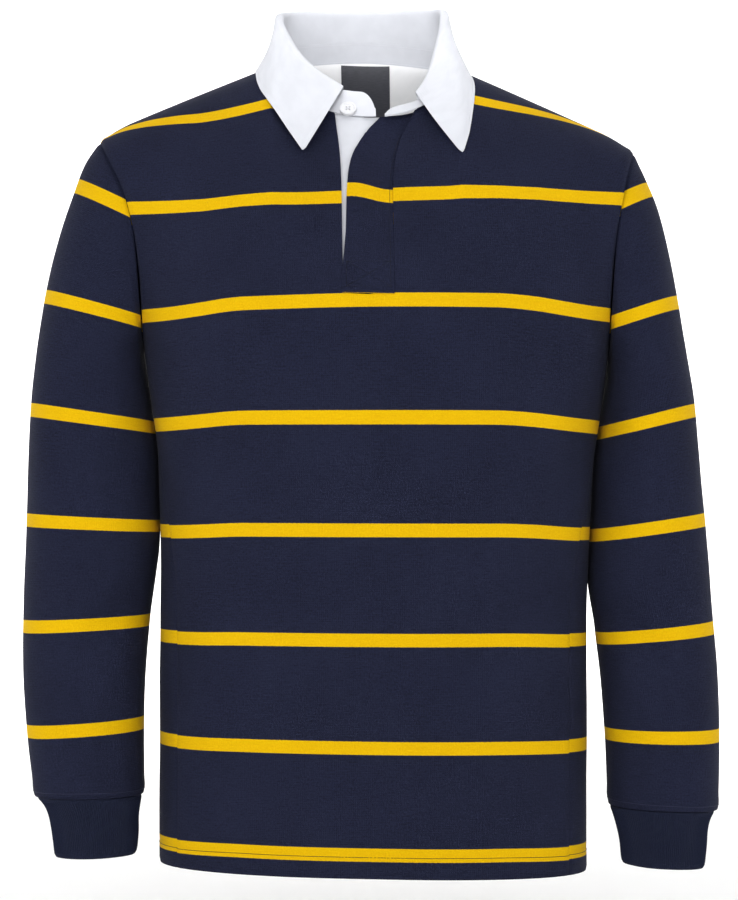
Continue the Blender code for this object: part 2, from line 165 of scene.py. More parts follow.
COLLAR = [  # degrees round the neck; fold x, y, z; lower edge x, y, z; fullness
    (-166.0, -21.0, -46.0, -17.0, -57.0, -88.0, -78.0, 7.0),
    (-140.0, -44.0, -41.0, 0.0, -72.0, -78.0, -55.0, 8.0),
    (-120.0, -60.5, -32.0, 19.0, -87.0, -70.0, -32.0, 6.0),
    (-100.0, -74.0, -11.0, 46.0, -97.5, -47.0, -14.0, 0.0),
    (-90.0, -75.5, -1.0, 55.0, -100.5, -21.0, 1.0, -3.5),
    (-80.0, -74.5, 9.0, 60.0, -100.0, 2.0, 4.5, -4.5),
    (-50.0, -61.0, 38.0, 67.0, -81.0, 48.0, 14.0, -3.0),
    (0.0, 0.0, 58.0, 71.5, 0.0, 82.0, 18.0, 3.0),
    (50.0, 58.0, 38.0, 71.0, 80.0, 48.0, 13.0, -2.0),
    (80.0, 70.0, 9.0, 66.0, 93.0, 3.0, 6.0, -3.0),
    (90.0, 70.0, -2.0, 57.0, 97.0, -21.0, 1.0, -2.0),
    (100.0, 68.5, -12.0, 45.0, 99.0, -46.0, -14.0, 1.0),
    (118.0, 63.0, -28.0, 22.0, 95.0, -71.0, -43.0, 6.0),
    (132.0, 56.0, -36.0, -2.0, 91.0, -85.0, -62.0, 8.0),
    (146.5, 47.0, -39.0, -21.0, 86.0, -92.0, -78.0, 7.0),
]
BUTTON_RADIUS = 7.6
BUTTON_THICK = 2.8
BUTTON_ANGLE = -169.0
BUTTON_UP = 5.5
LABEL_SIZE = (46.0, 46.0)
LABEL_TOP_Z = 22.0
FACING_DEPTH = 92.0
FACING_SHARE = 0.76

# ---- Stripes and folds ----

BODY_STRIPES = [  # level up the cloth, stripe number from the neck
    (-804.0, -9.0),
    (-706.0, -8.0),
    (-610.9, -7.0),
    (-514.7, -6.0),
    (-416.8, -5.0),
    (-316.5, -4.0),
    (-213.6, -3.0),
    (-118.0, -2.0),
    (-25.0, -1.0),
    (81.0, 0.0),
]
STRIPE_TILT = [  # level, how much each stripe rises towards the wearer's left
    (-706.0, 0.002),
    (-514.7, 0.015),
    (-316.5, 0.02),
    (-213.6, 0.032),
    (-118.0, 0.058),
    (0.0, 0.075),
]
STRIPE_BEND = [  # level, how far each stripe drops at the armholes and sides; how far it climbs to the middle
    (-706.0, 2.2, 0.0),
    (-610.9, 1.2, 0.0),
    (-514.7, 2.4, 0.0),
    (-416.8, 3.8, 0.0),
    (-316.5, 6.0, 0.0),
    (-213.6, 8.2, 1.6),
    (-118.0, 2.0, 2.6),
    (-25.0, 0.0, 20.0),
    (20.0, 0.0, 20.0),
]
BEND_FROM, BEND_OVER, CLIMB_REACH = 110.0, 95.0, 160.0
TILT_REACH = 150.0  # the tilt stops growing this far from the middle
BACK_STRIPE_UP = 0.8  # the back's stripes miss the front's at the side seams by this much
PLACKET_STRIPE_UP = 5.6  # and the covering strip's, at its free edge
SLEEVE_STRIPES_RIGHT = [  # height on the sleeve's outer line, stripe number, tilt in degrees
    (-708.0, -7.0, -5.0),
    (-609.0, -6.0, -5.2),
    (-513.2, -5.0, -4.1),
    (-415.0, -4.0, 1.6),
    (-313.0, -3.0, 7.5),
    (-208.0, -2.0, 15.0),
    (-105.0, -1.0, 28.0),
    (0.0, 0.0, 25.0),
]
SLEEVE_STRIPES_LEFT = [
    (-702.0, -7.0, -3.0),
    (-600.0, -6.0, 0.3),
    (-501.2, -5.0, 6.5),
    (-402.0, -4.0, 9.0),
    (-301.0, -3.0, 14.0),
    (-201.3, -2.0, 17.0),
    (-97.5, -1.0, 24.0),
    (12.0, 0.0, 24.0),
]

# Folds: from x, z to x, z; width; depth, more than 0 for a ridge
FRONT_FOLDS = [
    (-206.0, -232.0, -150.0, -330.0, 20.0, 2.6),
    (-196.0, -262.0, -120.0, -372.0, 17.0, -2.2),
    (-200.0, -300.0, -165.0, -430.0, 15.0, 1.6),
    (205.0, -236.0, 158.0, -345.0, 19.0, 2.4),
    (198.0, -268.0, 138.0, -500.0, 18.0, -2.6),
    (-186.0, -470.0, -160.0, -640.0, 20.0, 1.8),
    (176.0, -520.0, 168.0, -690.0, 16.0, -1.6),
    (-70.0, -90.0, -150.0, -190.0, 24.0, 1.6),
    (95.0, -92.0, 170.0, -200.0, 24.0, 1.5),
    (60.0, -420.0, 30.0, -640.0, 34.0, 1.5),
    (-60.0, -380.0, -84.0, -620.0, 36.0, -1.3),
    (6.0, -62.0, 34.0, -82.0, 8.0, -1.2),
]
BACK_FOLDS = [
    (204.0, -240.0, 140.0, -330.0, 20.0, 2.6),
    (-204.0, -236.0, -146.0, -320.0, 19.0, 2.8),
    (196.0, -280.0, 120.0, -420.0, 20.0, -2.4),
    (-198.0, -272.0, -112.0, -450.0, 21.0, -2.6),
    (70.0, -60.0, 150.0, -150.0, 26.0, 1.6),
    (-64.0, -66.0, -142.0, -170.0, 25.0, 1.7),
    (90.0, -330.0, 46.0, -600.0, 30.0, 2.0),
    (-84.0, -360.0, -58.0, -650.0, 32.0, -1.9),
    (10.0, -400.0, 14.0, -690.0, 34.0, -1.4),
    (-170.0, -480.0, -150.0, -680.0, 20.0, 1.6),
    (168.0, -450.0, 158.0, -650.0, 18.0, -1.5),
]
SLEEVE_FOLDS = [  # the same, with 1 in front and -1 behind
    (222.0, -290.0, 262.0, -350.0, 14.0, 2.2, 1),
    (214.0, -330.0, 250.0, -420.0, 13.0, -2.2, 1),
    (296.0, -250.0, 304.0, -470.0, 14.0, 1.5, 1),
    (214.0, -440.0, 268.0, -500.0, 14.0, 2.4, 1),
    (216.0, -482.0, 276.0, -540.0, 12.0, -2.4, 1),
    (222.0, -530.0, 262.0, -600.0, 13.0, 1.8, 1),
    (238.0, -610.0, 244.0, -668.0, 8.0, -1.2, 1),
    (284.0, -630.0, 286.0, -668.0, 8.0, -1.3, 1),
    (224.0, -280.0, 280.0, -360.0, 16.0, 2.4, -1),
    (216.0, -350.0, 270.0, -430.0, 14.0, -2.4, -1),
    (220.0, -450.0, 290.0, -520.0, 16.0, 2.6, -1),
    (222.0, -500.0, 290.0, -575.0, 13.0, -2.2, -1),
    (264.0, -600.0, 262.0, -668.0, 9.0, -1.3, -1),
]


def between(a, b, share):
    return a + (b - a) * share


def ease(share):
    share = np.clip(share, 0.0, 1.0)
    return share * share * (3 - 2 * share)


def curve(p, q, r, s, f):
    """Between q and r, on the smooth curve through all four."""
    return 0.5 * (2 * q + (r - p) * f + (2 * p - 5 * q + 4 * r - s) * f * f + (3 * q - p - 3 * r + s) * f**3)


def row_at(table, place):
    """A row between a table's rows, on a smooth curve; place runs from 0 to the last row's number."""
    last = len(table) - 1
    k = min(int(place), last - 1)
    near = (table[min(max(k + i, 0), last)] for i in (-1, 0, 1, 2))
    return [curve(*four, place - k) for four in zip(*near)]


def row_for(table, key):
    """The smooth row whose first column is key."""
    last = len(table) - 1
    key = min(max(key, table[0][0]), table[last][0])
    k = next(i for i in range(last) if key <= table[i + 1][0])
    return row_at(table, k + (key - table[k][0]) / (table[k + 1][0] - table[k][0]))


def column_of(table, number):
    return [row[number] for row in table]


def read_off(table, levels, number=1):
    """A column of a table at each level, on straight lines between its rows."""
    return np.interp(levels, column_of(table, 0), column_of(table, number))


def hang(points):
    """Points of the evenly made shirt, in millimetres, as it is worn, in metres."""
    points = np.asarray(points, float)
    x, y, z = points[..., 0], points[..., 1], points[..., 2]
    lean = LEAN * np.maximum(0.0, z - LEAN_FROM_Z) / -LEAN_FROM_Z
    grown = ease((np.abs(x) - SWAY_GROWS[0]) / (SWAY_GROWS[1] - SWAY_GROWS[0]))
    faded = ease((np.abs(x) - SWAY_FADES[0]) / (SWAY_FADES[1] - SWAY_FADES[0]))
    levels = np.linspace(SWAY[0][0], SWAY[-1][0], 400)
    sway = np.interp(z, levels, [row_for(SWAY, level)[1] for level in levels]) * grown * (1 - faded)
    return np.stack([x - lean + sway, y, z - DROP * x], axis=-1) * MM


def power(value, exponent):
    return abs(value) ** exponent * (1 if value >= 0 else -1)


def top_x(column):
    return column * (CHEST_HALF + SHOULDER_SPREAD * column * column)


NECK_HALF = top_x(NECK_COLUMN)


def neck_loop(angle):
    """A point of the neck seam, in degrees round from the middle of the back."""
    a = radians(angle)
    reach, rise, late = NECK_BACK if cos(a) > 0 else NECK_FRONT
    side = 1 if cos(a) > 0 else -1
    return Vector((NECK_HALF * sin(a), side * reach * abs(cos(a)), RIDGE_TOP + rise * abs(cos(a)) ** late))


def edge_at(x, side):
    """The reach and the height of a panel's top edge at x; side is -1 in front, 1 behind."""
    past = abs(x) - NECK_HALF
    if past < 0:
        reach, rise, late = NECK_BACK if side > 0 else NECK_FRONT
        share = sqrt(1 - (x / NECK_HALF) ** 2)
        return reach * share, RIDGE_TOP + rise * share**late
    tip = max(0.0, (abs(x) - TIP_DROP[0]) / (top_x(1.0) - TIP_DROP[0]))
    return 0.0, RIDGE_TOP - RIDGE_SLOPE * past - RIDGE_SAG * past * past - TIP_DROP[1] * tip * tip


def slit_spread(column, side):
    """How far the open placket pushes a front column aside at the neck."""
    if side > 0 or column == 0:
        return 0.0
    fade = 1 - float(ease((abs(column) - SLIT_COLUMN) / (NECK_COLUMN - SLIT_COLUMN)))
    return (-SLIT_SPREAD[0] if column < 0 else SLIT_SPREAD[1]) * fade


def yoke(column, row, side):
    """A point above the chest line; row runs from 0 at the chest to 1 at the neck or shoulder."""
    u = abs(column)
    opened = slit_spread(column, side)
    top_reach, top_z = edge_at(top_x(column) + opened, side)
    middle_curve, shoulder_curve = BACK_CURVE if side > 0 else CHEST_CURVE
    curve = between(middle_curve, shoulder_curve, float(ease(u / 0.6)))
    form = TORSO[-1][2] * max(0.0, 1 - row * row) ** curve
    middle = (form**3 + (top_reach * row * row) ** 3) ** (1 / 3)
    arm = ARMHOLE_HALF_DEPTH * 2 * sqrt(max(0.0, row * (1 - row)))
    n = SECTION_POWER
    fade = u**n * (1 - row**8)
    reach = max(0.0, middle**n - (middle**n - arm**n) * fade) ** (1 / n)
    x = column * (CHEST_HALF + SHOULDER_SPREAD * u * u * row**3) + opened * max(0.0, (row - 0.55) / 0.45) ** 3
    return x, side * reach, CHEST_Z + row * (top_z - CHEST_Z)


def trunk(column, z, side):
    """A point at or below the chest line."""
    _, half_width, half_depth = row_for(TORSO, z)
    settled = float(ease((CHEST_Z - z) / (CHEST_Z - SIDE_SEAM_SETTLED_Z)))
    quarter = pi / 2 + side * SIDE_SEAM_TURN * settled
    angle = asin(min(1.0, abs(column) ** (SECTION_POWER / 2))) * quarter / (pi / 2)
    return (
        power(column, 0) * half_width * power(sin(angle), 2 / SECTION_POWER),
        side * half_depth * power(cos(angle), 2 / SECTION_POWER),
        z,
    )


def torso(column, level, side):
    """A point of the front or back; level is 0 at the hem, 1 at the chest, 2 at the top edge."""
    if level <= 1:
        return trunk(column, between(HEM_Z, CHEST_Z, level), side)
    return yoke(column, level - 1, side)


def armhole(angle):
    """A point of the armhole seam of the side where x is positive; 0 is the underarm, pi the shoulder."""
    row = (1 - cos(angle)) / 2
    x, _, z = yoke(1.0, row, 1)
    return np.array((x, -ARMHOLE_HALF_DEPTH * sin(angle), z))


def ring_point(row, angle):
    outer_x, outer_z, inner_x, inner_z, half_depth, middle, hollow = row
    share = (1 - power(cos(angle), 0.92)) / 2
    side = power(sin(angle), 0.92)
    return np.array((
        between(inner_x, outer_x, share) - hollow * side * side,
        middle - half_depth * side,
        between(inner_z, outer_z, share),
    ))


def stand_top(angle):
    """The stand's top edge: up from the neck seam towards the fold."""
    seam = neck_loop(angle)
    _, x, y, z, *_ = row_for(COLLAR, angle)
    end = min(max(angle, COLLAR[0][0]), COLLAR[-1][0])
    rise = Vector((x, y, z)) - neck_loop(end)
    return seam + rise * min(STAND_HEIGHT / rise.length, 0.8)


def body_reach(x, z, side):
    """How far the body's cloth stands forward or back of the middle at x and z, or None above it."""
    column = x / CHEST_HALF
    for _ in range(12):
        row = (z - CHEST_Z) / (edge_at(x, side)[1] - CHEST_Z)
        if row >= 1:
            return None
        row = max(row, 0.0)
        column = x / (CHEST_HALF + SHOULDER_SPREAD * column * column * row**3)
    return abs(yoke(column, row, side)[1])


def on_body(x, z, side, out):
    """A point on the front or back at x and z, moved out from the cloth's face."""
    reach = body_reach(x, min(z, edge_at(x, side)[1] - 0.01), side)
    return x, side * (reach + out), z


def clear_of_body(point, stand_off):
    """The point, moved forward or back where it would lie on or in the body's cloth."""
    side = -1 if point.y < 0 else 1
    reach = body_reach(point.x, point.z, side)
    if reach is not None and abs(point.y) < reach + stand_off:
        point.y = side * (reach + stand_off)
    return point


# ---- Cloth: grids of points, their folds, their maps and their meshes ----


def grid_of(columns, rows, place):
    return np.array([[tuple(place(c, r)) for r in rows] for c in columns], float)


def smooth_rows(rows, places):
    """Points between given rows of points, along smooth curves; places run from 0 to the last row."""
    last = rows.shape[1] - 1
    k = np.minimum(places.astype(int), last - 1)
    f = (places - k)[None, :, None]
    return curve(*(rows[:, np.clip(k + i, 0, last)] for i in (-1, 0, 1, 2)), f)


def outward(points, flip, closed=False):
    """Unit normals of a grid."""
    along = np.gradient(points, axis=0)
    if closed:
        along[0] = along[-1] = points[1] - points[-2]
    across = np.gradient(points, axis=1)
    normal = np.cross(along, across) * (-1 if flip else 1)
    return normal / np.maximum(np.linalg.norm(normal, axis=-1, keepdims=True), 1e-9)


def lengths(points, axis):
    """How far each point of a grid lies from its first column or row, along the cloth."""
    step = np.linalg.norm(np.diff(points, axis=axis), axis=-1)
    start = np.zeros_like(np.take(step, [0], axis=axis))
    return np.concatenate([start, np.cumsum(step, axis=axis)], axis=axis)


def to_edge(distance, axis):
    """How far each point of a grid lies from its last column or row."""
    return np.take(distance, [-1], axis=axis) - distance


def near_edge(distance, axis):
    """How far each point lies from the nearer of its first and last column or row."""
    return np.minimum(distance, to_edge(distance, axis))


def groove(distance, depth, width):
    """A dent along a line, at each point's distance from it."""
    return -depth * np.exp(-((distance / width) ** 2))


def fold_heights(points, folds):
    """How far soft folds lift each point off the form."""
    x, z = points[..., 0], points[..., 2]
    total = np.zeros(x.shape)
    for x1, z1, x2, z2, width, depth in folds:
        dx, dz = x2 - x1, z2 - z1
        share = np.clip(((x - x1) * dx + (z - z1) * dz) / (dx * dx + dz * dz), 0, 1)
        off = np.hypot(x - x1 - share * dx, z - z1 - share * dz)
        total += depth * np.exp(-((off / width) ** 2)) * (0.25 + 0.75 * np.sin(pi * share) ** 0.8)
    return total


def unevenness(points, seed):
    """The slight swell of cloth that nothing holds flat."""
    heights = np.empty(points.shape[:2])
    for i, column in enumerate(points):
        for j, (x, y, z) in enumerate(column):
            broad = noise.noise(Vector((x / 85, y / 85, z / 120)) + Vector((seed, 0, 0)))
            fine = noise.noise(Vector((x / 24, y / 24, z / 30)) + Vector((0, seed, 0)))
            heights[i, j] = 1.1 * broad + 0.22 * fine
    return heights


def seam_shape(distance, depth=0.9, ridge=0.5):
    """Cloth turns down into a seam, and its allowance lifts it a little beside that."""
    return groove(distance - 5.5, -ridge, 3.2) + groove(distance, depth, 2.0)


def striped(round_it, level, stripes, settings):
    """A map of knitted cloth: metres round it, and the stripe repeat up it."""
    return np.stack([round_it * MM, read_off(stripes, level) * settings.stripe_repeat], axis=-1)


def deselect():
    for obj in bpy.context.selected_objects:
        obj.select_set(False)


def choose(obj):
    """Select this object only, and make it the active one."""
    deselect()
    obj.select_set(True)
    bpy.context.view_layer.objects.active = obj


def lay_cloth(name, points, pattern, wall, material, flip=False, closed=False, keep=None):
    """A sheet through a grid of points, in metres, mapped by pattern, with its wall behind it."""
    columns, rows = points.shape[:2]
    deselect()
    bpy.ops.mesh.primitive_grid_add(x_subdivisions=columns - 1, y_subdivisions=rows - 1, size=2)
    obj = bpy.context.object
    obj.name = obj.data.name = name
    mesh = obj.data
    flat = np.empty(len(mesh.vertices) * 3)
    mesh.vertices.foreach_get("co", flat)
    flat = flat.reshape(-1, 3)
    i = np.rint((flat[:, 0] + 1) / 2 * (columns - 1)).astype(int)
    j = np.rint((flat[:, 1] + 1) / 2 * (rows - 1)).astype(int)
    mesh.vertices.foreach_set("co", points[i, j].ravel())
    corners = np.empty(len(mesh.loops), int)
    mesh.loops.foreach_get("vertex_index", corners)
    cloth_map = mesh.uv_layers.active or mesh.uv_layers.new()
    cloth_map.name = "cloth"
    cloth_map.data.foreach_set("uv", pattern[i, j][corners].ravel())
    if keep is not None:
        centres = [(i[list(f.vertices)].mean(), j[list(f.vertices)].mean()) for f in mesh.polygons]
        gone = [not keep(a, b) for a, b in centres]
        mesh.polygons.foreach_set("select", gone)
        mesh.vertices.foreach_set("select", [False] * len(mesh.vertices))
        mesh.edges.foreach_set("select", [False] * len(mesh.edges))
        bpy.ops.object.mode_set(mode="EDIT")
        bpy.ops.mesh.select_mode(type="FACE")
        bpy.ops.mesh.delete(type="FACE")
        bpy.ops.object.mode_set(mode="OBJECT")
    bpy.ops.object.mode_set(mode="EDIT")
    bpy.ops.mesh.select_mode(type="VERT")
    bpy.ops.mesh.select_all(action="SELECT")
    if closed:
        bpy.ops.mesh.remove_doubles(threshold=0.00002)
    if flip:
        bpy.ops.mesh.flip_normals()
    bpy.ops.object.mode_set(mode="OBJECT")
    solid = obj.modifiers.new("Wall", "SOLIDIFY")
    solid.thickness = wall * MM
    solid.offset = -1
    bpy.ops.object.modifier_apply(modifier=solid.name)
    bpy.ops.object.shade_smooth_by_angle(angle=radians(50))
    obj.data.materials.append(material)
    return obj


def lay_trim(node, kind, points, wall, material, flip=True):
    """A small piece, mapped in metres along its own columns and rows."""
    hung = hang(points)
    keep_laid(node, hung, False)
    own_map = np.stack([lengths(hung, 0), lengths(hung, 1)], axis=-1)
    return lay_cloth(f"{node}_{kind}", hung, own_map, wall, material, flip)


def declare(piece, node):
    """The piece stands for a node and rides with the shirt."""
    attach(piece, "root")
    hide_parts(node)


# ---- Materials ----


def linear(colour):
    """An sRGB hex colour as a linear one."""
    parts = [int(colour[i : i + 2], 16) / 255 for i in (0, 2, 4)]
    return (*(c / 12.92 if c <= 0.04045 else ((c + 0.055) / 1.055) ** 2.4 for c in parts), 1.0)


def add(tree, kind, settings=None, links=None, **choices):
    """A node with its choices, its values and its links."""
    node = tree.nodes.new(kind)
    for name, value in choices.items():
        setattr(node, name, value)
    for key, value in (settings or {}).items():
        node.inputs[key].default_value = value
    for key, socket in (links or {}).items():
        tree.links.new(socket, node.inputs[key])
    return node


def scaled_noise(tree, vector, scale, detail=2.0, stretch=(1, 1, 1)):
    """Noise whose grains are about 1/scale metres, stretched along the cloth."""
    mapping = add(tree, "ShaderNodeMapping", {"Scale": [scale * s for s in stretch]}, {"Vector": vector})
    fine = add(tree, "ShaderNodeTexNoise", {"Scale": 1.0, "Detail": detail}, {"Vector": mapping.outputs[0]})
    return fine.outputs[0]


def maths(tree, operation, *terms):
    """The result of a maths node on numbers and other nodes' results."""
    numbers = {k: term for k, term in enumerate(terms) if isinstance(term, (int, float))}
    links = {k: term for k, term in enumerate(terms) if k not in numbers}
    return add(tree, "ShaderNodeMath", numbers, links, operation=operation).outputs[0]


def share_of(tree, value, low, high):
    """0 where the value is low, 1 where it is high."""
    return add(tree, "ShaderNodeMapRange", {1: low, 2: high}, {0: value}).outputs[0]


def blend(tree, share, dark, light):
    """A colour between two, each an sRGB hex colour or another node's result."""
    ends = {6: dark, 7: light}
    values = {k: linear(colour) for k, colour in ends.items() if isinstance(colour, str)}
    links = {k: colour for k, colour in ends.items() if k not in values}
    return add(tree, "ShaderNodeMix", values, {0: share, **links}, data_type="RGBA").outputs[2]


def both_ways(tree, uv):
    """Distance round the cloth and distance up it."""
    return add(tree, "ShaderNodeSeparateXYZ", {}, {0: uv}).outputs[:2]


def material_of(name, look, rough, sheen, specular, on_cloth=True):
    """The material of that name. Its look gives a colour, and a height with its bump's strength and depth."""
    material = bpy.data.materials.get(name)
    if material:
        return material
    material = bpy.data.materials.new(name)
    material.use_nodes = True
    tree = material.node_tree
    shader = tree.nodes["Principled BSDF"].inputs
    shader["Roughness"].default_value = rough
    shader["Specular IOR Level"].default_value = specular
    shader["Sheen Weight"].default_value = sheen
    shader["Sheen Roughness"].default_value = 0.5
    if on_cloth:
        place = add(tree, "ShaderNodeUVMap", uv_map="cloth").outputs[0]
    else:
        place = add(tree, "ShaderNodeTexCoord").outputs["Object"]
    colour, height, strength, depth = look(tree, place)
    if isinstance(colour, str):
        shader["Base Color"].default_value = linear(colour)
    else:
        tree.links.new(colour, shader["Base Color"])
    if height is not None:
        bump = add(tree, "ShaderNodeBump", {"Strength": strength, "Distance": depth}, {"Height": height})
        tree.links.new(bump.outputs[0], shader["Normal"])
    return material


def jersey_height(tree, u, v, wale, course):
    """Height of knitted columns of loops: a rounded wale with each loop's dip along it."""
    wales = maths(tree, "ABSOLUTE", maths(tree, "SINE", maths(tree, "MULTIPLY", u, pi / wale)))
    courses = maths(tree, "MULTIPLY", v, 2 * pi / course)
    loops = maths(tree, "SINE", maths(tree, "MULTIPLY_ADD", wales, 2.2, courses))
    return maths(tree, "MULTIPLY_ADD", loops, 0.35, wales)


def jersey(settings):
    """Heavy cotton jersey with knitted-in stripes: matt, faintly fuzzy, with slubs across the cloth."""

    def look(tree, uv):
        u, v = both_ways(tree, uv)
        ragged = scaled_noise(tree, uv, 700, stretch=(1, 0.4, 1))  # each stripe ends on a row of loops
        edge = maths(tree, "MULTIPLY_ADD", ragged, 0.0006, v)
        off = maths(tree, "PINGPONG", edge, settings.stripe_repeat / 2)
        half = settings.stripe_width / 2
        stripe = share_of(tree, off, half + 0.0003, half - 0.0003)
        slubs = scaled_noise(tree, uv, 900, detail=3.0, stretch=(0.09, 1, 1))
        grain = scaled_noise(tree, uv, 620, detail=4.0)
        cloud = scaled_noise(tree, uv, 14)
        tone = maths(tree, "MULTIPLY_ADD", cloud, 0.25, maths(tree, "MULTIPLY_ADD", slubs, 0.55, grain))
        spread = share_of(tree, tone, 0.62, 1.18)
        navy = blend(tree, spread, settings.navy_dark, settings.navy_light)
        gold = blend(tree, spread, settings.gold_dark, settings.gold_light)
        # Real wales are 1.1 mm apart, too fine to show, so they are drawn at 1.9 mm
        height = jersey_height(tree, u, v, 0.0019, 0.0016)
        fuzz = scaled_noise(tree, uv, 1500, detail=3.0)
        return blend(tree, stripe, navy, gold), maths(tree, "MULTIPLY_ADD", fuzz, 0.9, height), 0.32, 0.00035

    return material_of("striped_cotton_jersey", look, 0.9, 0.02, 0.09)


def rib_knit(settings):
    """Ribbed cotton knit of the cuffs: the ribs are modelled, and loops show on them."""

    def look(tree, uv):
        spread = share_of(tree, scaled_noise(tree, uv, 900, detail=4.0), 0.3, 0.7)
        colour = blend(tree, spread, settings.rib_dark, settings.rib_light)
        return colour, jersey_height(tree, *both_ways(tree, uv), 0.001, 0.0014), 0.3, 0.0003

    return material_of("ribbed_cotton_knit", look, 0.92, 0.02, 0.09)


def twill(settings, inside=False):
    """White cotton twill of the collar: fine diagonal lines, soft and matt. Inside the neck the same twill is painted
    brighter, a painted light that stands in for the light falling inside the neck.
    """

    def look(tree, uv):
        # Twill lines are 0.6 mm apart, drawn at 1.2 mm so that they show
        turned = add(tree, "ShaderNodeMapping", {"Rotation": (0, 0, radians(52))}, {"Vector": uv}).outputs[0]
        phase = maths(tree, "MULTIPLY", both_ways(tree, turned)[0], 2 * pi / 0.0012)
        grain = scaled_noise(tree, uv, 1100, detail=3.0)
        height = maths(tree, "MULTIPLY_ADD", maths(tree, "SINE", phase), 0.3, grain)
        spread = share_of(tree, scaled_noise(tree, uv, 60), 0.35, 0.65)
        # Inside the neck the twill takes lighter colours: painted light, not a whiter cloth
        dark = settings.painted_lit_inside_dark if inside else settings.white_dark
        light = settings.painted_lit_inside_light if inside else settings.white_light
        return blend(tree, spread, dark, light), height, 0.22, 0.0002

    return material_of("painted_lit_white_cotton_twill" if inside else "white_cotton_twill", look, 0.8, 0.15, 0.3)


def label_damask(settings):
    """Woven polyester label, plain: close weave with a slight satin gloss."""

    def look(tree, uv):
        threads = scaled_noise(tree, uv, 1500, stretch=(0.12, 1, 1))
        spread = share_of(tree, threads, 0.3, 0.7)
        return blend(tree, spread, settings.label_dark, settings.label_colour), threads, 0.25, 0.0002

    return material_of("woven_label_damask", look, 0.6, 0.0, 0.4)


def thread(name, colour):
    """Spun polyester sewing thread: twisted, so its light breaks up along it."""

    def look(tree, place):
        return colour, scaled_noise(tree, place, 2200), 0.4, 0.0002

    return material_of(name, look, 0.7, 0.0, 0.25, on_cloth=False)


def button_polyester(settings):
    """Cast polyester button: white, polished to a soft shine, with faint clouding."""

    def look(tree, place):
        cloud = scaled_noise(tree, place, 300)
        return blend(tree, cloud, settings.button_dark, settings.button_colour), None, 0, 0

    return material_of("cast_polyester", look, 0.28, 0.0, 0.5, on_cloth=False)


# ---- Stitches ----


def along_path(path, step):
    """Points every step along a polyline, with the share of the way at each."""
    path = np.asarray(path, float)
    far = np.concatenate([[0], np.cumsum(np.linalg.norm(np.diff(path, axis=0), axis=1))])
    count = max(1, int(far[-1] / step))
    places = (np.arange(count) + 0.5) * far[-1] / count
    return np.stack([np.interp(places, far, path[:, k]) for k in range(path.shape[1])], axis=1)


def sew(name, rows, material, length=3.0, gap=0.9, thick=0.42):
    """Rows of stitches as one mesh. Each row is a path of points and outward normals, in metres."""
    deselect()
    bpy.ops.mesh.primitive_uv_sphere_add(segments=4, ring_count=4, radius=0.5)
    bead = bpy.context.object
    shape = np.array([v.co[:] for v in bead.data.vertices])
    faces = [list(p.vertices) for p in bead.data.polygons]
    bpy.data.objects.remove(bead)
    verts, polys = [], []
    for row in rows:
        spots = along_path(row, (length + gap) * MM)
        ends = np.asarray(row[-1][:3]) - np.asarray(row[0][:3])
        way = np.gradient(spots[:, :3], axis=0) if len(spots) > 1 else [ends]
        for spot, heading in zip(spots, way):
            normal = spot[3:6] / np.linalg.norm(spot[3:6])
            heading = heading / np.linalg.norm(heading)
            across = np.cross(normal, heading)
            across /= np.linalg.norm(across)
            start = len(verts)
            body = (
                spot[:3]
                + normal * thick * MM * 0.2
                + shape[:, 2:3] * heading * length * MM
                + shape[:, 0:1] * across * thick * MM
                + shape[:, 1:2] * normal * thick * MM
            )
            verts.extend(body.tolist())
            polys.extend([[start + k for k in face] for face in faces])
    mesh = bpy.data.meshes.new(name)
    mesh.from_pydata(verts, [], polys)
    obj = bpy.data.objects.new(name, mesh)
    bpy.context.scene.collection.objects.link(obj)
    choose(obj)
    bpy.ops.object.mode_set(mode="EDIT")
    bpy.ops.mesh.select_all(action="SELECT")
    bpy.ops.mesh.normals_make_consistent(inside=False)
    bpy.ops.object.mode_set(mode="OBJECT")
    bpy.ops.object.shade_smooth()
    obj.data.materials.append(material)
    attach(obj, "root")
    return obj


laid = {}  # name: points in metres, outward normals and levels up the cloth of each piece, for its stitches


def keep_laid(name, points, flip, closed=False, levels=None):
    laid[name] = (points, outward(points, flip, closed), levels)


def row_at_level(name, wanted):
    """A stitching path across a piece where its levels reach what is wanted."""
    points, normals, levels = laid[name]
    path = []
    for column, *pair in zip(levels, points, normals):
        order = np.argsort(column)
        path.append([np.interp(wanted, column[order], part[order, k]) for part in pair for k in range(3)])
    return path


def row_along(name, row, ends, deeper=0.0):
    """A stitching path along one of a piece's rows, short of its ends and moved out by so many millimetres."""
    points, normals = (part[ends:-ends, row] for part in laid[name][:2])
    return np.concatenate([points + normals * deeper * MM, normals], axis=1)


# ---- Settings ----


def hex_colour(name, default):
    return bpy.props.StringProperty(name=name, description="sRGB hex", default=default)


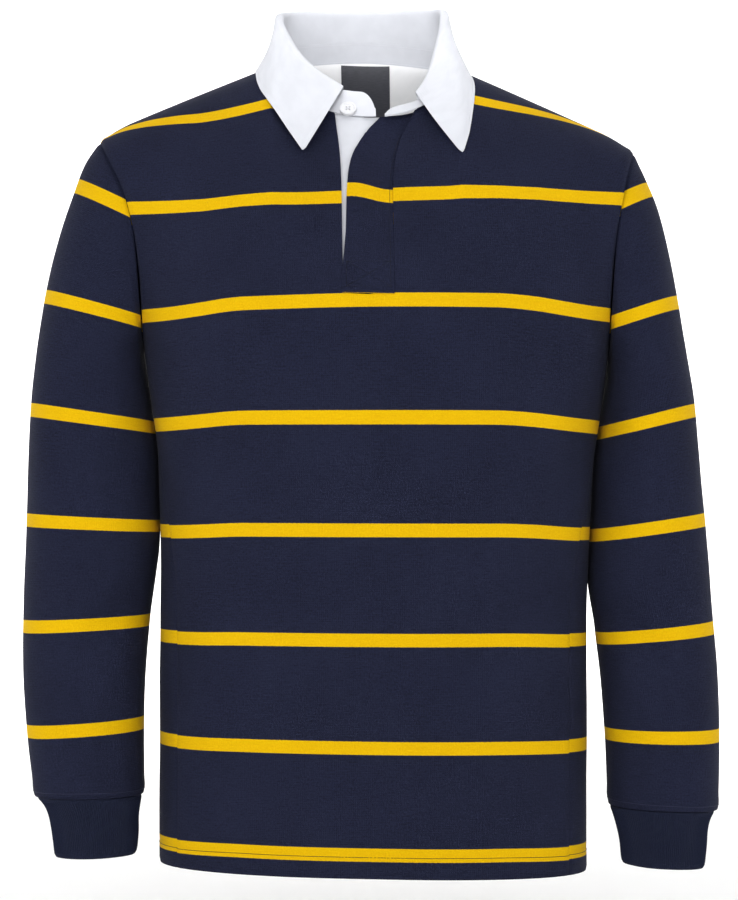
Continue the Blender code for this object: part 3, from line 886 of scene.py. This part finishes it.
class RugbyShirtSettings(bpy.types.PropertyGroup):
    cloth_wall: bpy.props.FloatProperty(name="Cloth", description="Thickness of the knit, mm", default=2.0, min=1)
    trim_wall: bpy.props.FloatProperty(name="Twill", description="Thickness of the collar cloth, mm", default=1.4)
    stripe_repeat: bpy.props.FloatProperty(
        name="Stripe repeat", description="From one stripe to the next", default=0.098, unit="LENGTH")
    stripe_width: bpy.props.FloatProperty(
        name="Stripe width", description="Width of a gold stripe", default=0.012, unit="LENGTH")
    rib_spacing: bpy.props.FloatProperty(name="Ribs", description="Spacing of the cuffs' ribs, mm", default=2.1)
    rib_height: bpy.props.FloatProperty(name="Rib height", description="Height of the ribs, mm", default=0.7)
    stitch_length: bpy.props.FloatProperty(name="Stitch", description="Length of a stitch, mm", default=3.0)
    fold_depth: bpy.props.FloatProperty(name="Folds", description="Depth of the folds", default=1.0)
    navy_dark: hex_colour("Navy, dark", "131525")
    navy_light: hex_colour("Navy, light", "25293f")
    gold_dark: hex_colour("Gold, dark", "daa900")
    gold_light: hex_colour("Gold, light", "e8bd06")
    rib_dark: hex_colour("Rib, dark", "161a2a")
    rib_light: hex_colour("Rib, light", "22273c")
    white_dark: hex_colour("White, dark", "d6d8df")
    white_light: hex_colour("White, light", "dbdde4")
    # Inside white: the collar's twill painted lighter, as painted light inside the neck
    painted_lit_inside_dark: hex_colour("Inside white, dark", "f6f7f9")
    painted_lit_inside_light: hex_colour("Inside white, light", "fbfbfd")
    label_dark: hex_colour("Label, dark", "393a40")
    label_colour: hex_colour("Label", "474850")
    button_dark: hex_colour("Button, dark", "e2e2e4")
    button_colour: hex_colour("Button", "dfe0e6")
    thread_colour: hex_colour("Thread", "10121e")
    sleeve_thread: hex_colour("Sleeve thread", "2a2e44")
    white_thread: hex_colour("White thread", "e2e3ea")
    grey_thread: hex_colour("Label thread", "55565e")
    paper: hex_colour("Backdrop", "f6f6f6")


def settings_of(context):
    return getattr(context.scene, SETTINGS_NAME)


# ---- Pieces ----

SEAM = 0.12  # each edge stands back this far from its seam
HEM_TURN = 19.0  # height of the hem's stitching
LIE_DOWN = 60.0  # the side seams are pressed flat over this far below the chest
SLEEVE_TOUCHES = {  # levels between which each sleeve lies on the body, faded in and out
    1: (-505.0, -465.0, -268.0, -250.0),
    -1: (-452.0, -405.0, -268.0, -250.0),
}
SLEEVE_STANDS_OFF = 0.5
SLEEVE_COLUMNS = 145
RIB_WALL = 2.4
LABEL_WALL = 0.8
STRIP_OUT, UNDER_STRIP_OUT, FACING_OUT, LABEL_OUT = 1.4, -2.6, -4.6, -6.6  # how far out from the body's face


def turned_columns(angle_steps):
    """Columns that are even round the body: the sine's power undoes the rounded-box section."""
    return [sin(a) ** (2 / SECTION_POWER) for a in angle_steps]


def body_columns(slit):
    """Columns from side to side; where there is a slit, one falls on each of its edges."""
    foot = asin(SLIT_COLUMN ** (SECTION_POWER / 2)) if slit else 0.0
    inner = list(np.linspace(0, foot, 9))[:-1] if slit else []
    half = turned_columns(inner + list(np.linspace(foot, pi / 2, 74 if slit else 80)))
    return [-c for c in reversed(half) if c > 0] + half


def body_rows():
    """Levels from the hem to the top edge, even along the curve of the yoke, one at the slit's foot."""
    foot = asin(SLIT_FOOT_ROW)
    climb = list(np.linspace(0, foot, 12))[1:] + list(np.linspace(foot, pi / 2, 84))[1:]
    return list(np.linspace(0, 1, 118)) + [1 + sin(b) for b in climb]


def stand_back(points, gaps):
    """The outer edges of a grid drawn in from their seams: gaps for first and last column and last row."""
    for axis, index, inner in gaps:
        edge = np.take(points, index, axis=axis)
        way = np.take(points, inner, axis=axis) - edge
        size = np.maximum(np.linalg.norm(way, axis=-1, keepdims=True), 1e-6)
        moved = edge + way / size * np.minimum(SEAM, size * 0.4)
        if axis == 0:
            points[index] = moved
        else:
            points[:, index] = moved
    return points


def body_pattern(points, side):
    """Map of a body panel: millimetres round it, and the level each point has in the cloth's own rows."""
    z = points[..., 2]
    slope = ease((z[:, 1:] - CHEST_Z - 25) / 90)  # lower down the cloth's slope isn't stretch of the panel
    climb = np.hypot(np.diff(points[..., 1], axis=1) * slope, np.diff(z, axis=1))
    climb = np.concatenate([np.zeros((len(points), 1)), np.cumsum(climb, axis=1)], axis=1)
    chest = np.array([np.interp(CHEST_Z, z[i], climb[i]) for i in range(len(points))])[:, None]
    level = np.where(z <= CHEST_Z, z, CHEST_Z + climb - chest)
    across, away = points[..., 0], np.abs(points[..., 0])
    bend = read_off(STRIPE_BEND, level) * ease((away - BEND_FROM) / BEND_OVER)
    if side < 0:
        bend -= read_off(STRIPE_BEND, level, 2) * ease(1 - away / CLIMB_REACH)
    level = level - read_off(STRIPE_TILT, level) * np.clip(across, -TILT_REACH, TILT_REACH) + bend
    if side > 0:
        level -= BACK_STRIPE_UP
    round_it = lengths(points, 0)
    round_it -= round_it[len(points) // 2]
    return round_it, level


def body_panel(name, side, folds, slit, settings):
    columns, rows = body_columns(slit), body_rows()
    points = grid_of(columns, rows, lambda c, r: torso(c, r, side))
    flip = side > 0
    round_it, level = body_pattern(points, side)
    pattern = striped(round_it, level, BODY_STRIPES, settings)
    up = lengths(points, 1)
    sides, top = near_edge(lengths(points, 0), 0), to_edge(up, 1)
    wide = np.abs(points[..., 0]) > NECK_HALF + 4
    held = ease(sides / 40) * ease(top / 40)
    lift = (fold_heights(points, folds) * settings.fold_depth + unevenness(points, 3.0 * side)) * held
    low = ease((CHEST_Z - points[..., 2]) / LIE_DOWN)
    lift += seam_shape(sides) * (1 - 0.65 * low) + np.where(wide, seam_shape(top), 0)
    lift += groove(up, 0.8, 1.6)  # the hem's turned edge is round
    lift += groove(up - HEM_TURN, 0.5, 1.6)  # its stitching draws it in
    points = points + outward(points, flip) * lift[..., None]
    hung = hang(stand_back(points, [(0, 0, 1), (0, -1, -2), (1, -1, -2)]))

    def outside_slit(i, j):
        column = between(columns[int(i)], columns[ceil(i)], 0.5)
        return abs(column) > SLIT_COLUMN or between(rows[int(j)], rows[ceil(j)], 0.5) < 1 + SLIT_FOOT_ROW

    keep_laid(name, hung, flip, levels=level)
    keep = outside_slit if slit else None
    return lay_cloth(name + "_cloth", hung, pattern, settings.cloth_wall, jersey(settings), flip, keep=keep)


class SHIRT_OT_body(bpy.types.Operator):
    """Lay the front and the back on the form"""

    bl_idname = "shirt.body"
    bl_label = "Body"

    def execute(self, context):
        settings = settings_of(context)
        front = body_panel("front", -1, FRONT_FOLDS, True, settings)
        declare(front, "front")
        back = body_panel("back", 1, BACK_FOLDS, False, settings)
        declare(back, "back")
        return {"FINISHED"}


def sleeve_level(points, table, stripes):
    """For each point, the height on the sleeve's outer line that its row of loops comes from."""
    x, z = np.abs(points[..., 0]), points[..., 2]
    level = z.copy()
    outer = sorted((row[1], row[0]) for row in table)
    for _ in range(10):
        level = z + np.tan(np.radians(read_off(stripes, level, 2))) * (read_off(outer, level) - x)
    return level


def against_body(hung, hand):
    """The sleeve's inner side laid against the body, where it hangs beside it."""
    body = np.concatenate([laid[side][0].reshape(-1, 3) for side in ("front", "back")]) / MM
    mine = hung.reshape(-1, 3) / MM
    touches = SLEEVE_TOUCHES[hand]
    levels = np.arange(touches[0] - 40, touches[-1] + 41, 6.0)
    reach = [np.max(hand * body[np.abs(body[:, 2] - level) < 5][:, 0]) for level in levels]
    inner = [np.min(hand * mine[np.abs(mine[:, 2] - level) < 5][:, 0]) for level in levels]
    closing = np.clip(np.array(inner) - np.array(reach) - SLEEVE_STANDS_OFF, 0, 4)
    closing *= np.interp(levels, touches, (0, 1, 1, 0))
    z = hung[..., 2] / MM
    near = ease(1 - (hand * hung[..., 0] / MM - np.interp(z, levels, inner)) / 45)
    hung[..., 0] -= hand * np.interp(z, levels, closing) * near * MM
    return hung


def wrap(points, lift, flip, gaps):
    """A ring-shaped grid lifted off the form and drawn in from its seams, its last column on its first."""
    lift[-1] = lift[0]
    points = points + outward(points, flip, closed=True) * lift[..., None]
    points = stand_back(points, gaps)
    points[-1] = points[0]
    return points


def sleeve(name, hand, table, stripes, settings):
    around = np.linspace(0, 2 * pi, SLEEVE_COLUMNS)
    rings = [[armhole(a) for a in around]]
    for place in np.linspace(0, 1, SLEEVE_RINGS) * (len(table) - 1):
        row = row_at(table, place)
        rings.append([ring_point(row, a) for a in around])
    rings = np.array(rings).transpose(1, 0, 2)
    places = np.concatenate([np.linspace(0, 1, 15)[:-1], np.linspace(1, 13, 118)[:-1], np.linspace(13, 14, 16)])
    points = smooth_rows(rings, places)
    top = lengths(points, 1)
    bottom = to_edge(top, 1)
    front = ease(-(points[..., 1] - np.mean(points[..., 1], axis=0)) / 40 + 0.5)
    folds = fold_heights(points, [f[:6] for f in SLEEVE_FOLDS if f[6] > 0]) * front
    folds += fold_heights(points, [f[:6] for f in SLEEVE_FOLDS if f[6] < 0]) * (1 - front)
    held = ease(top / 35) * ease(bottom / 14)
    points[..., 0] *= hand
    flip = hand > 0
    lift = (folds * settings.fold_depth + unevenness(points, 7.0 + hand)) * held
    lift += seam_shape(top, 0.9, 0.2) + groove(bottom - 9, -0.6, 5)
    points = wrap(points, lift, flip, [(1, 0, 1), (1, -1, -2)])
    pattern = striped(lengths(points, 0), sleeve_level(points, table, stripes), stripes, settings)
    hung = against_body(hang(points), hand)
    keep_laid(name, hung, flip, closed=True, levels=-bottom)
    return lay_cloth(name + "_cloth", hung, pattern, settings.cloth_wall, jersey(settings), flip, closed=True)


class SHIRT_OT_sleeves(bpy.types.Operator):
    """Lay both sleeves from the armholes to the cuffs"""

    bl_idname = "shirt.sleeves"
    bl_label = "Sleeves"

    def execute(self, context):
        settings = settings_of(context)
        for name, hand, table, stripes in (
            ("sleeve_left", 1, SLEEVE_LEFT, SLEEVE_STRIPES_LEFT),
            ("sleeve_right", -1, SLEEVE_RIGHT, SLEEVE_STRIPES_RIGHT),
        ):
            piece = sleeve(name, hand, table, stripes, settings)
            declare(piece, name)
        return {"FINISHED"}


def even_angles(row, count):
    """Angles round a ring that are an equal way apart along it."""
    fine = np.linspace(0, 2 * pi, 721)
    far = lengths(np.array([[ring_point(row, a)] for a in fine]), 0)[:, 0]
    return np.interp(np.linspace(0, far[-1], count), far, fine), far[-1]


def cuff(name, hand, table, settings):
    _, girth = even_angles(table[1], 9)
    ribs = round(girth / settings.rib_spacing)
    around, _ = even_angles(table[1], ribs * 4 + 1)
    rings = np.array([[ring_point(row, a) for row in table] for a in around])
    points = smooth_rows(rings, np.linspace(0, len(table) - 1, 24))
    points[..., 0] *= hand
    flip = hand > 0
    top = lengths(points, 1)
    bottom = to_edge(top, 1)
    wave = np.cos(np.arange(len(around)) * pi / 2)[:, None]
    lift = settings.rib_height * 0.5 * wave * ease((bottom - 0.5) / 3) * ease(top / 3)
    lift += groove(bottom, 1.0, 1.8) + groove(top, 0.5, 1.5)
    swell = np.array([
        [0.9 * noise.noise(Vector((x / 30, y / 30, z / 30))) for x, y, z in column] for column in points
    ])
    lift += swell * ease(top / 10)
    points = wrap(points, lift, flip, [(1, 0, 1)])
    pattern = np.stack([lengths(points, 0) * MM, top * MM], axis=-1)
    return lay_cloth(name + "_knit", hang(points), pattern, RIB_WALL, rib_knit(settings), flip, closed=True)


class SHIRT_OT_cuffs(bpy.types.Operator):
    """Lay the ribbed cuffs below the sleeves"""

    bl_idname = "shirt.cuffs"
    bl_label = "Cuffs"

    def execute(self, context):
        settings = settings_of(context)
        for name, hand, table in (("cuff_left", 1, CUFF_LEFT), ("cuff_right", -1, CUFF_RIGHT)):
            piece = cuff(name, hand, table, settings)
            declare(piece, name)
        return {"FINISHED"}


ROLL = 3.6
END_BULGE, END_BULGE_OVER = (-3.0, 5.0), 16.0  # how far the front edges curve out, over so many degrees
# The buttoned end of the band stands higher: how far, from which angle, over so many degrees
TAB_UP, TAB_FROM, TAB_OVER = 7.0, -161.5, 5.0
STAND_LIFT = 0.9


def neck_way(angle):
    """The way the neck seam runs."""
    return (neck_loop(angle + 2) - neck_loop(angle - 2)).normalized()


def leaf_place(angle, row):
    """A point of the collar leaf: row 0 to 1 up from the stand, 1 to 2 over the fold, 2 to 3 down outside."""
    _, fx, fy, fz, ex, ey, ez, full = row_for(COLLAR, angle)
    fold, edge, base = Vector((fx, fy, fz)), Vector((ex, ey, ez)), stand_top(angle)
    rise = (fold - base).normalized()
    out = rise.cross(neck_way(angle)).normalized()
    inner = fold - rise * ROLL * 0.6 + out * 0.5
    start = fold + (out * 1.7 - rise * 0.6) * ROLL
    if row <= 1:
        return base.lerp(inner, row)
    if row <= 2:
        t = row - 1
        a, d = inner, start
        b, c = inner + rise * ROLL * 1.1, start + rise * ROLL * 0.9
        return a * (1 - t) ** 3 + b * 3 * t * (1 - t) ** 2 + c * 3 * t * t * (1 - t) + d * t**3
    share = row - 2
    near = min(angle - COLLAR[0][0], COLLAR[-1][0] - angle)
    corner = 0.05 * max(0.0, 1 - near / 3.2) ** 2  # the points are a little rounded
    share *= 1 - corner
    point = start.lerp(edge, share) + out * full * sin(pi * share) * 0.9
    at_end = max(0.0, 1 - near / END_BULGE_OVER) ** 2
    bulge = END_BULGE[0] if angle < 0 else END_BULGE[1]
    point += neck_way(angle) * bulge * at_end * sin(pi * share)
    return clear_of_body(point, LEAF_OFF)


def stand_place(angle, row):
    """A point of the band: row 0 to 1 from the neck seam to its top edge."""
    first, last = STAND_ENDS
    near = min(angle - first, last - angle)
    share = row
    if near < STAND_ROUND_END:
        share *= sqrt(max(0.1, 1 - (1 - near / STAND_ROUND_END) ** 2))
    seam, top = neck_loop(angle), stand_top(angle)
    top = top + Vector((0, 0, TAB_UP)) * float(ease((TAB_FROM - angle) / TAB_OVER))
    return seam + Vector((0, 0, STAND_LIFT)) * (1 - row) + (top - seam) * share


class SHIRT_OT_collar(bpy.types.Operator):
    """Stand the band on the neck seam and fold the leaf over it"""

    bl_idname = "shirt.collar"
    bl_label = "Collar"

    def execute(self, context):
        settings = settings_of(context)
        material = twill(settings)
        angles = np.linspace(COLLAR[0][0], COLLAR[-1][0], 181)
        rows = np.concatenate([np.linspace(0, 1, 10)[:-1], np.linspace(1, 2, 9)[:-1], np.linspace(2, 3, 30)])
        points = grid_of(angles, rows, leaf_place)
        rim = np.minimum(near_edge(lengths(points, 0), 0), to_edge(lengths(points, 1), 1))
        lift = groove(rim - 6.0, 0.5, 1.3) + groove(rim, 0.35, 1.2)
        points = points - outward(points, True) * lift[..., None] * ease((rows - 2) / 0.1)[None, :, None]
        leaf = lay_trim("collar_leaf", "twill", points, settings.trim_wall, material)
        declare(leaf, "collar_leaf")

        first, last = STAND_ENDS
        ends = list(np.linspace(0, STAND_ROUND_END, 14))
        angles = [first + e for e in ends] + list(np.linspace(first + 12, last - 12, 130))
        angles += [last - e for e in reversed(ends)]
        points = grid_of(angles, np.linspace(0, 1, 10), stand_place)
        stand = lay_trim("collar_stand", "twill", points, settings.trim_wall, material)
        declare(stand, "collar_stand")
        return {"FINISHED"}


def placket_strip(across, up):
    """The covering strip: from its free edge to its seam, and from its foot to the neck."""
    top = edge_at(between(15.5, 44.0, across), -1)[1]
    z = between(PLACKET_FOOT_Z, top, up)
    opened = SLIT_SPREAD[1] * max(0.0, (up - 0.42) / 0.58) ** 3
    right = top_x(SLIT_COLUMN) + opened - 0.2
    x = between(row_for(PLACKET_EDGE, z)[1], right, across)
    return on_body(x, min(z, edge_at(x, -1)[1]), -1, STRIP_OUT)


def under_strip(across, up):
    """The strip under it, leaning over with the open neck."""
    x = between(*(between(a, b, up**3) for a, b in zip(UNDER_PLACKET, UNDER_PLACKET_TOP)), across)
    z = between(PLACKET_FOOT_Z + 3, edge_at(x, -1)[1], up)
    return on_body(x, z, -1, UNDER_STRIP_OUT)


class SHIRT_OT_placket(bpy.types.Operator):
    """Lay the covering strip and the white strip under it"""

    bl_idname = "shirt.placket"
    bl_label = "Placket"

    def execute(self, context):
        settings = settings_of(context)
        across = np.linspace(0, 1, 22)
        points = grid_of(across, np.linspace(0, 1, 96), placket_strip)
        middle = laid["front"][0].shape[0] // 2
        centre, _, level = (part[middle] for part in laid["front"])
        own = np.interp(points[..., 2], centre[:, 2] / MM, level)
        raised = PLACKET_STRIPE_UP * (1 - ease((across - 0.15) / 0.8))[:, None]
        own = own - raised * ease((points[..., 2] + 200) / 60)
        edge = lengths(points, 0)
        lift = groove(near_edge(edge, 0), 0.5, 1.4) + groove(lengths(points, 1), 0.5, 1.4)
        points = points + outward(points, False) * lift[..., None]
        hung = hang(points)
        keep_laid("placket_top", hung, False)
        pattern = striped(edge, own, BODY_STRIPES, settings)
        strip = lay_cloth("placket_top_cloth", hung, pattern, settings.cloth_wall, jersey(settings))
        declare(strip, "placket_top")
        points = grid_of(np.linspace(0, 1, 14), np.linspace(0, 1, 72), under_strip)
        under = lay_trim("placket_under", "twill", points, settings.trim_wall, twill(settings), flip=False)
        declare(under, "placket_under")
        return {"FINISHED"}


def facing_place(across, down):
    """A half-moon, its straight edge up at the neck seam."""
    x = across * NECK_HALF * FACING_SHARE
    top = edge_at(x, 1)[1] + 0.5
    return on_body(x, top - down * (FACING_DEPTH * sqrt(1 - 0.98 * across * across)), 1, FACING_OUT)


def label_place(across, down):
    return on_body(across * LABEL_SIZE[0] / 2, LABEL_TOP_Z - down * LABEL_SIZE[1], 1, LABEL_OUT)


class SHIRT_OT_neck(bpy.types.Operator):
    """Lay the half-moon facing inside the back of the neck, and its plain label"""

    bl_idname = "shirt.neck"
    bl_label = "Neck facing and label"

    def execute(self, context):
        settings = settings_of(context)
        across = [sin(radians(a)) for a in np.linspace(-90, 90, 61)]
        points = grid_of(across, np.linspace(1, 0, 36), facing_place)
        # The facing gets the twill painted lighter: painted light inside the neck
        facing = lay_trim("neck_facing", "twill", points, settings.trim_wall, twill(settings, inside=True))
        declare(facing, "neck_facing")
        points = grid_of(np.linspace(-1, 1, 31), np.linspace(1, 0, 31), label_place)
        swell = 0.5 * np.sin(np.linspace(0, pi, 31))[:, None] * np.linspace(1, 0, 31)[None, :]
        points[..., 1] -= swell
        label = lay_trim("label", "damask", points, LABEL_WALL, label_damask(settings))
        declare(label, "label")
        return {"FINISHED"}


HOLE_OFF, HOLE_RADIUS = 1.5, 0.75
BUTTON_LIP, BUTTON_STEP, BUTTON_DISH = 1.5, 0.7, 0.7  # the rim's width, the slope inside it and its depth


def button_frame():
    """The button's centre and face, as its node lies."""
    seam, top = neck_loop(BUTTON_ANGLE), stand_top(BUTTON_ANGLE)
    rise = (top - seam).normalized()
    face = rise.cross(neck_way(BUTTON_ANGLE)).normalized()
    if face.y > 0:
        face = -face
    return Vector(hang(seam + rise * BUTTON_UP + face * (BUTTON_THICK / 2 + 1.8))), face


class SHIRT_OT_button(bpy.types.Operator):
    """Turn the four-hole button and set it on the band"""

    bl_idname = "shirt.button"
    bl_label = "Button"

    def execute(self, context):
        settings = settings_of(context)
        centre, face = button_frame()
        turn = face.to_track_quat("Z", "Y").to_euler()
        deselect()
        bpy.ops.mesh.primitive_cylinder_add(vertices=56, radius=BUTTON_RADIUS * MM, depth=BUTTON_THICK * MM)
        disc = bpy.context.object
        disc.name = disc.data.name = "collar_button_cast"
        bpy.ops.object.mode_set(mode="EDIT")
        bm = bmesh.from_edit_mesh(disc.data)
        for f in bm.faces:
            f.select_set(f.normal.z > 0.9)
        bmesh.update_edit_mesh(disc.data)
        bpy.ops.mesh.inset(thickness=BUTTON_LIP * MM)
        bpy.ops.mesh.inset(thickness=BUTTON_STEP * MM)
        bpy.ops.transform.translate(value=(0, 0, -BUTTON_DISH * MM))
        bpy.ops.object.mode_set(mode="OBJECT")
        for across in (-1, 1):
            for up in (-1, 1):
                place = (across * HOLE_OFF * MM, up * HOLE_OFF * MM, 0)
                bpy.ops.mesh.primitive_cylinder_add(vertices=16, radius=HOLE_RADIUS * MM, depth=6 * MM, location=place)
                drill = bpy.context.object
                hole = disc.modifiers.new("Hole", "BOOLEAN")
                hole.object = drill
                choose(disc)
                bpy.ops.object.modifier_apply(modifier=hole.name)
                bpy.data.objects.remove(drill)
        rim = disc.modifiers.new("Rim", "BEVEL")
        rim.width = 0.35 * MM
        rim.segments = 3
        rim.angle_limit = radians(50)
        bpy.ops.object.modifier_apply(modifier=rim.name)
        disc.location, disc.rotation_euler = centre, turn
        choose(disc)
        bpy.ops.object.transform_apply(location=True, rotation=True, scale=True)
        bpy.ops.object.shade_smooth_by_angle(angle=radians(35))
        disc.data.materials.append(button_polyester(settings))
        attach(disc, "root")
        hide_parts("collar_button")
        return {"FINISHED"}


BOX_SIDES = (0.08, 0.93)  # of the covering strip's width
BOX_LEVELS = (-200.5, -178.0)
PLACKET_SEAM_TOP = -60.0


def strip_path(corners):
    """A stitching path over the covering strip through corners: share of its width, level."""
    points, normals, _ = laid["placket_top"]
    last = points.shape[0] - 1
    path = []
    for (a1, z1), (a2, z2) in zip(corners, corners[1:]):
        for t in np.linspace(0, 1, 14):
            a = between(a1, a2, t) * last
            i = min(int(a), last - 1)
            column, facing = (between(part[i], part[i + 1], a - i) for part in (points, normals))
            z = between(z1, z2, t) * MM
            path.append([np.interp(z, column[:, 2], part[:, k]) for part in (column, facing) for k in range(3)])
    return path


class SHIRT_OT_stitching(bpy.types.Operator):
    """Sew the hem, the sleeve ends, the placket's box and cross, the collar, the facing and the label"""

    bl_idname = "shirt.stitching"
    bl_label = "Stitching"

    def execute(self, context):
        settings = settings_of(context)
        length = settings.stitch_length
        navy = thread("navy_spun_thread", settings.thread_colour)
        white = thread("white_spun_thread", settings.white_thread)
        hem = BODY_STRIPES[1][0] - 2.6
        sew("hem_stitches", [row_at_level(name, hem) for name in ("front", "back")], navy, length, 0.8, 0.5)
        rows = [row_at_level(name, -6.0) for name in ("sleeve_left", "sleeve_right")]
        sew("sleeve_end_stitches", rows, thread("navy_core_thread", settings.sleeve_thread), length, 0.9, 0.45)

        (near, far), (low, high) = BOX_SIDES, BOX_LEVELS
        sew("placket_stitches", [
            strip_path([(near, low), (far, low), (far, high), (near, high), (near, low)]),
            strip_path([(near, low), (far, high)]),
            strip_path([(far, low), (near, high)]),
            strip_path([(far, high), (far, PLACKET_SEAM_TOP)]),
        ], navy, 2.4, 0.8, 0.4)

        rows = [row_along("collar_stand", row, 8, settings.trim_wall) for row in (1, 8)]
        sew("collar_stitches", rows, white, 2.4, 0.8, 0.34)
        sew("facing_stitches", [row_along("neck_facing", 2, 3, 0.1)], white, 2.6, 0.8, 0.34)
        grey = thread("grey_spun_thread", settings.grey_thread)
        sew("label_stitches", [row_along("label", -2, 1)], grey, 2.0, 0.7, 0.32)

        centre, face = button_frame()
        turn = face.to_track_quat("Z", "Y")
        across, up = turn @ Vector((1, 0, 0)), turn @ Vector((0, 1, 0))
        floor = face * (BUTTON_THICK / 2 - 0.55) * MM
        rows = []
        for slope in (1, -1):
            start, end = (centre + (across * e + up * e * slope) * HOLE_OFF * MM + floor for e in (-1, 1))
            rows.append([(*start.lerp(end, t), *face) for t in (0, 0.5, 1)])
        sew("button_thread", rows, white, 4.4, 0.0, 0.6)
        return {"FINISHED"}


# ---- Stage ----

EYE = (-0.0028, -2.6, -0.381)
LENS = 111.8
SHIFT_UP = 0.0442
FLOOR_Z = -0.80
FLOOR_SIZE = 14
SHIRT_MIDDLE = (0, 0, -0.35)
SOFT_LAMPS = (  # name, place, aim, size, watts
    ("key", (-1.0, -3.0, 0.1), SHIRT_MIDDLE, 2.0, 25),
    ("fill", (1.3, -3.0, 0.0), SHIRT_MIDDLE, 2.0, 9.5),
    ("low", (0.0, -3.2, -0.6), SHIRT_MIDDLE, 1.6, 5.5),
    ("backdrop", (0.0, 3.0, 2.2), (0, 5.5, 0.6), 4.0, 260),
)


def studio_paper(settings):
    """White background paper, matt; a little light of its own keeps it white to its edges."""
    paper = bpy.data.materials.new("studio_paper")
    paper.use_nodes = True
    shader = paper.node_tree.nodes["Principled BSDF"].inputs
    shader["Base Color"].default_value = linear(settings.paper)
    shader["Roughness"].default_value = 0.9
    shader["Emission Color"].default_value = (1, 1, 1, 1)
    shader["Emission Strength"].default_value = 0.13
    return paper


def put(context, name, data, place):
    holder = bpy.data.objects.new(name, data)
    context.scene.collection.objects.link(holder)
    holder.location = place
    return holder


def shine(context, name, kind, place, aim, watts):
    """A lamp at a place, aimed at a point."""
    lamp = bpy.data.lights.new(name, kind)
    lamp.energy = watts
    holder = put(context, name, lamp, place)
    holder.rotation_euler = (Vector(aim) - holder.location).to_track_quat("-Z", "Y").to_euler()
    return lamp


class SHIRT_OT_stage(bpy.types.Operator):
    """Set the floor and backdrop, the soft lights and the camera"""

    bl_idname = "shirt.stage"
    bl_label = "Stage"

    def execute(self, context):
        deselect()
        bpy.ops.mesh.primitive_plane_add(size=FLOOR_SIZE, location=(0, 0, FLOOR_Z))
        floor = context.object
        floor.name = "floor"
        bpy.ops.object.mode_set(mode="EDIT")
        bm = bmesh.from_edit_mesh(floor.data)
        for e in bm.edges:
            e.select_set(all(v.co.y > FLOOR_SIZE / 2 - 0.1 for v in e.verts))
        bmesh.update_edit_mesh(floor.data)
        bpy.ops.mesh.extrude_region_move(TRANSFORM_OT_translate={"value": (0, 0, 9)})
        bpy.ops.object.mode_set(mode="OBJECT")
        sweep = floor.modifiers.new("Sweep", "BEVEL")
        sweep.width = 2.5
        sweep.segments = 16
        bpy.ops.object.modifier_apply(modifier=sweep.name)
        bpy.ops.object.shade_smooth()
        floor.data.materials.append(studio_paper(settings_of(context)))

        context.scene.view_settings.view_transform = "Standard"
        world = bpy.data.worlds.new("studio")
        world.use_nodes = True
        background = world.node_tree.nodes["Background"].inputs
        background["Color"].default_value = (1, 1, 1, 1)
        background["Strength"].default_value = 0.08
        context.scene.world = world
        for name, place, aim, size, watts in SOFT_LAMPS:
            shine(context, name, "AREA", place, aim, watts).size = size
        spot = shine(context, "neck", "SPOT", (0, -1.5, 0.75), (0.003, 0.06, 0.022), 150)
        spot.spot_size = radians(4.8)
        spot.spot_blend = 0.5
        spot.shadow_soft_size = 0.12

        camera = put(context, "camera", bpy.data.cameras.new("camera"), EYE)
        camera.rotation_euler = (pi / 2, 0, 0)
        camera.data.lens = LENS
        camera.data.sensor_width = 36
        camera.data.shift_y = SHIFT_UP
        context.scene.camera = camera
        return {"FINISHED"}


PIECES = (
    SHIRT_OT_body, SHIRT_OT_sleeves, SHIRT_OT_cuffs, SHIRT_OT_collar, SHIRT_OT_placket,
    SHIRT_OT_neck, SHIRT_OT_button, SHIRT_OT_stitching, SHIRT_OT_stage,
)


class SHIRT_PT_panel(bpy.types.Panel):
    bl_label = "Rugby Shirt"
    bl_space_type = "VIEW_3D"
    bl_region_type = "UI"
    bl_category = "Rugby Shirt"

    def draw(self, context):
        settings = settings_of(context)
        for name in settings.bl_rna.properties.keys():
            if name not in ("rna_type", "name"):
                self.layout.prop(settings, name)
        for piece in PIECES:
            self.layout.operator(piece.bl_idname)


CLASSES = (RugbyShirtSettings, *PIECES, SHIRT_PT_panel)


def register():
    for cls in CLASSES:
        bpy.utils.register_class(cls)
    setattr(bpy.types.Scene, SETTINGS_NAME, bpy.props.PointerProperty(type=RugbyShirtSettings))


def unregister():
    delattr(bpy.types.Scene, SETTINGS_NAME)
    for cls in reversed(CLASSES):
        bpy.utils.unregister_class(cls)


def main():
    register()
    bpy.ops.shirt.body()
    bpy.ops.shirt.sleeves()
    bpy.ops.shirt.cuffs()
    bpy.ops.shirt.collar()
    bpy.ops.shirt.placket()
    bpy.ops.shirt.neck()
    bpy.ops.shirt.button()
    bpy.ops.shirt.stitching()
    bpy.ops.shirt.stage()


if __name__ == "__main__":
    main()
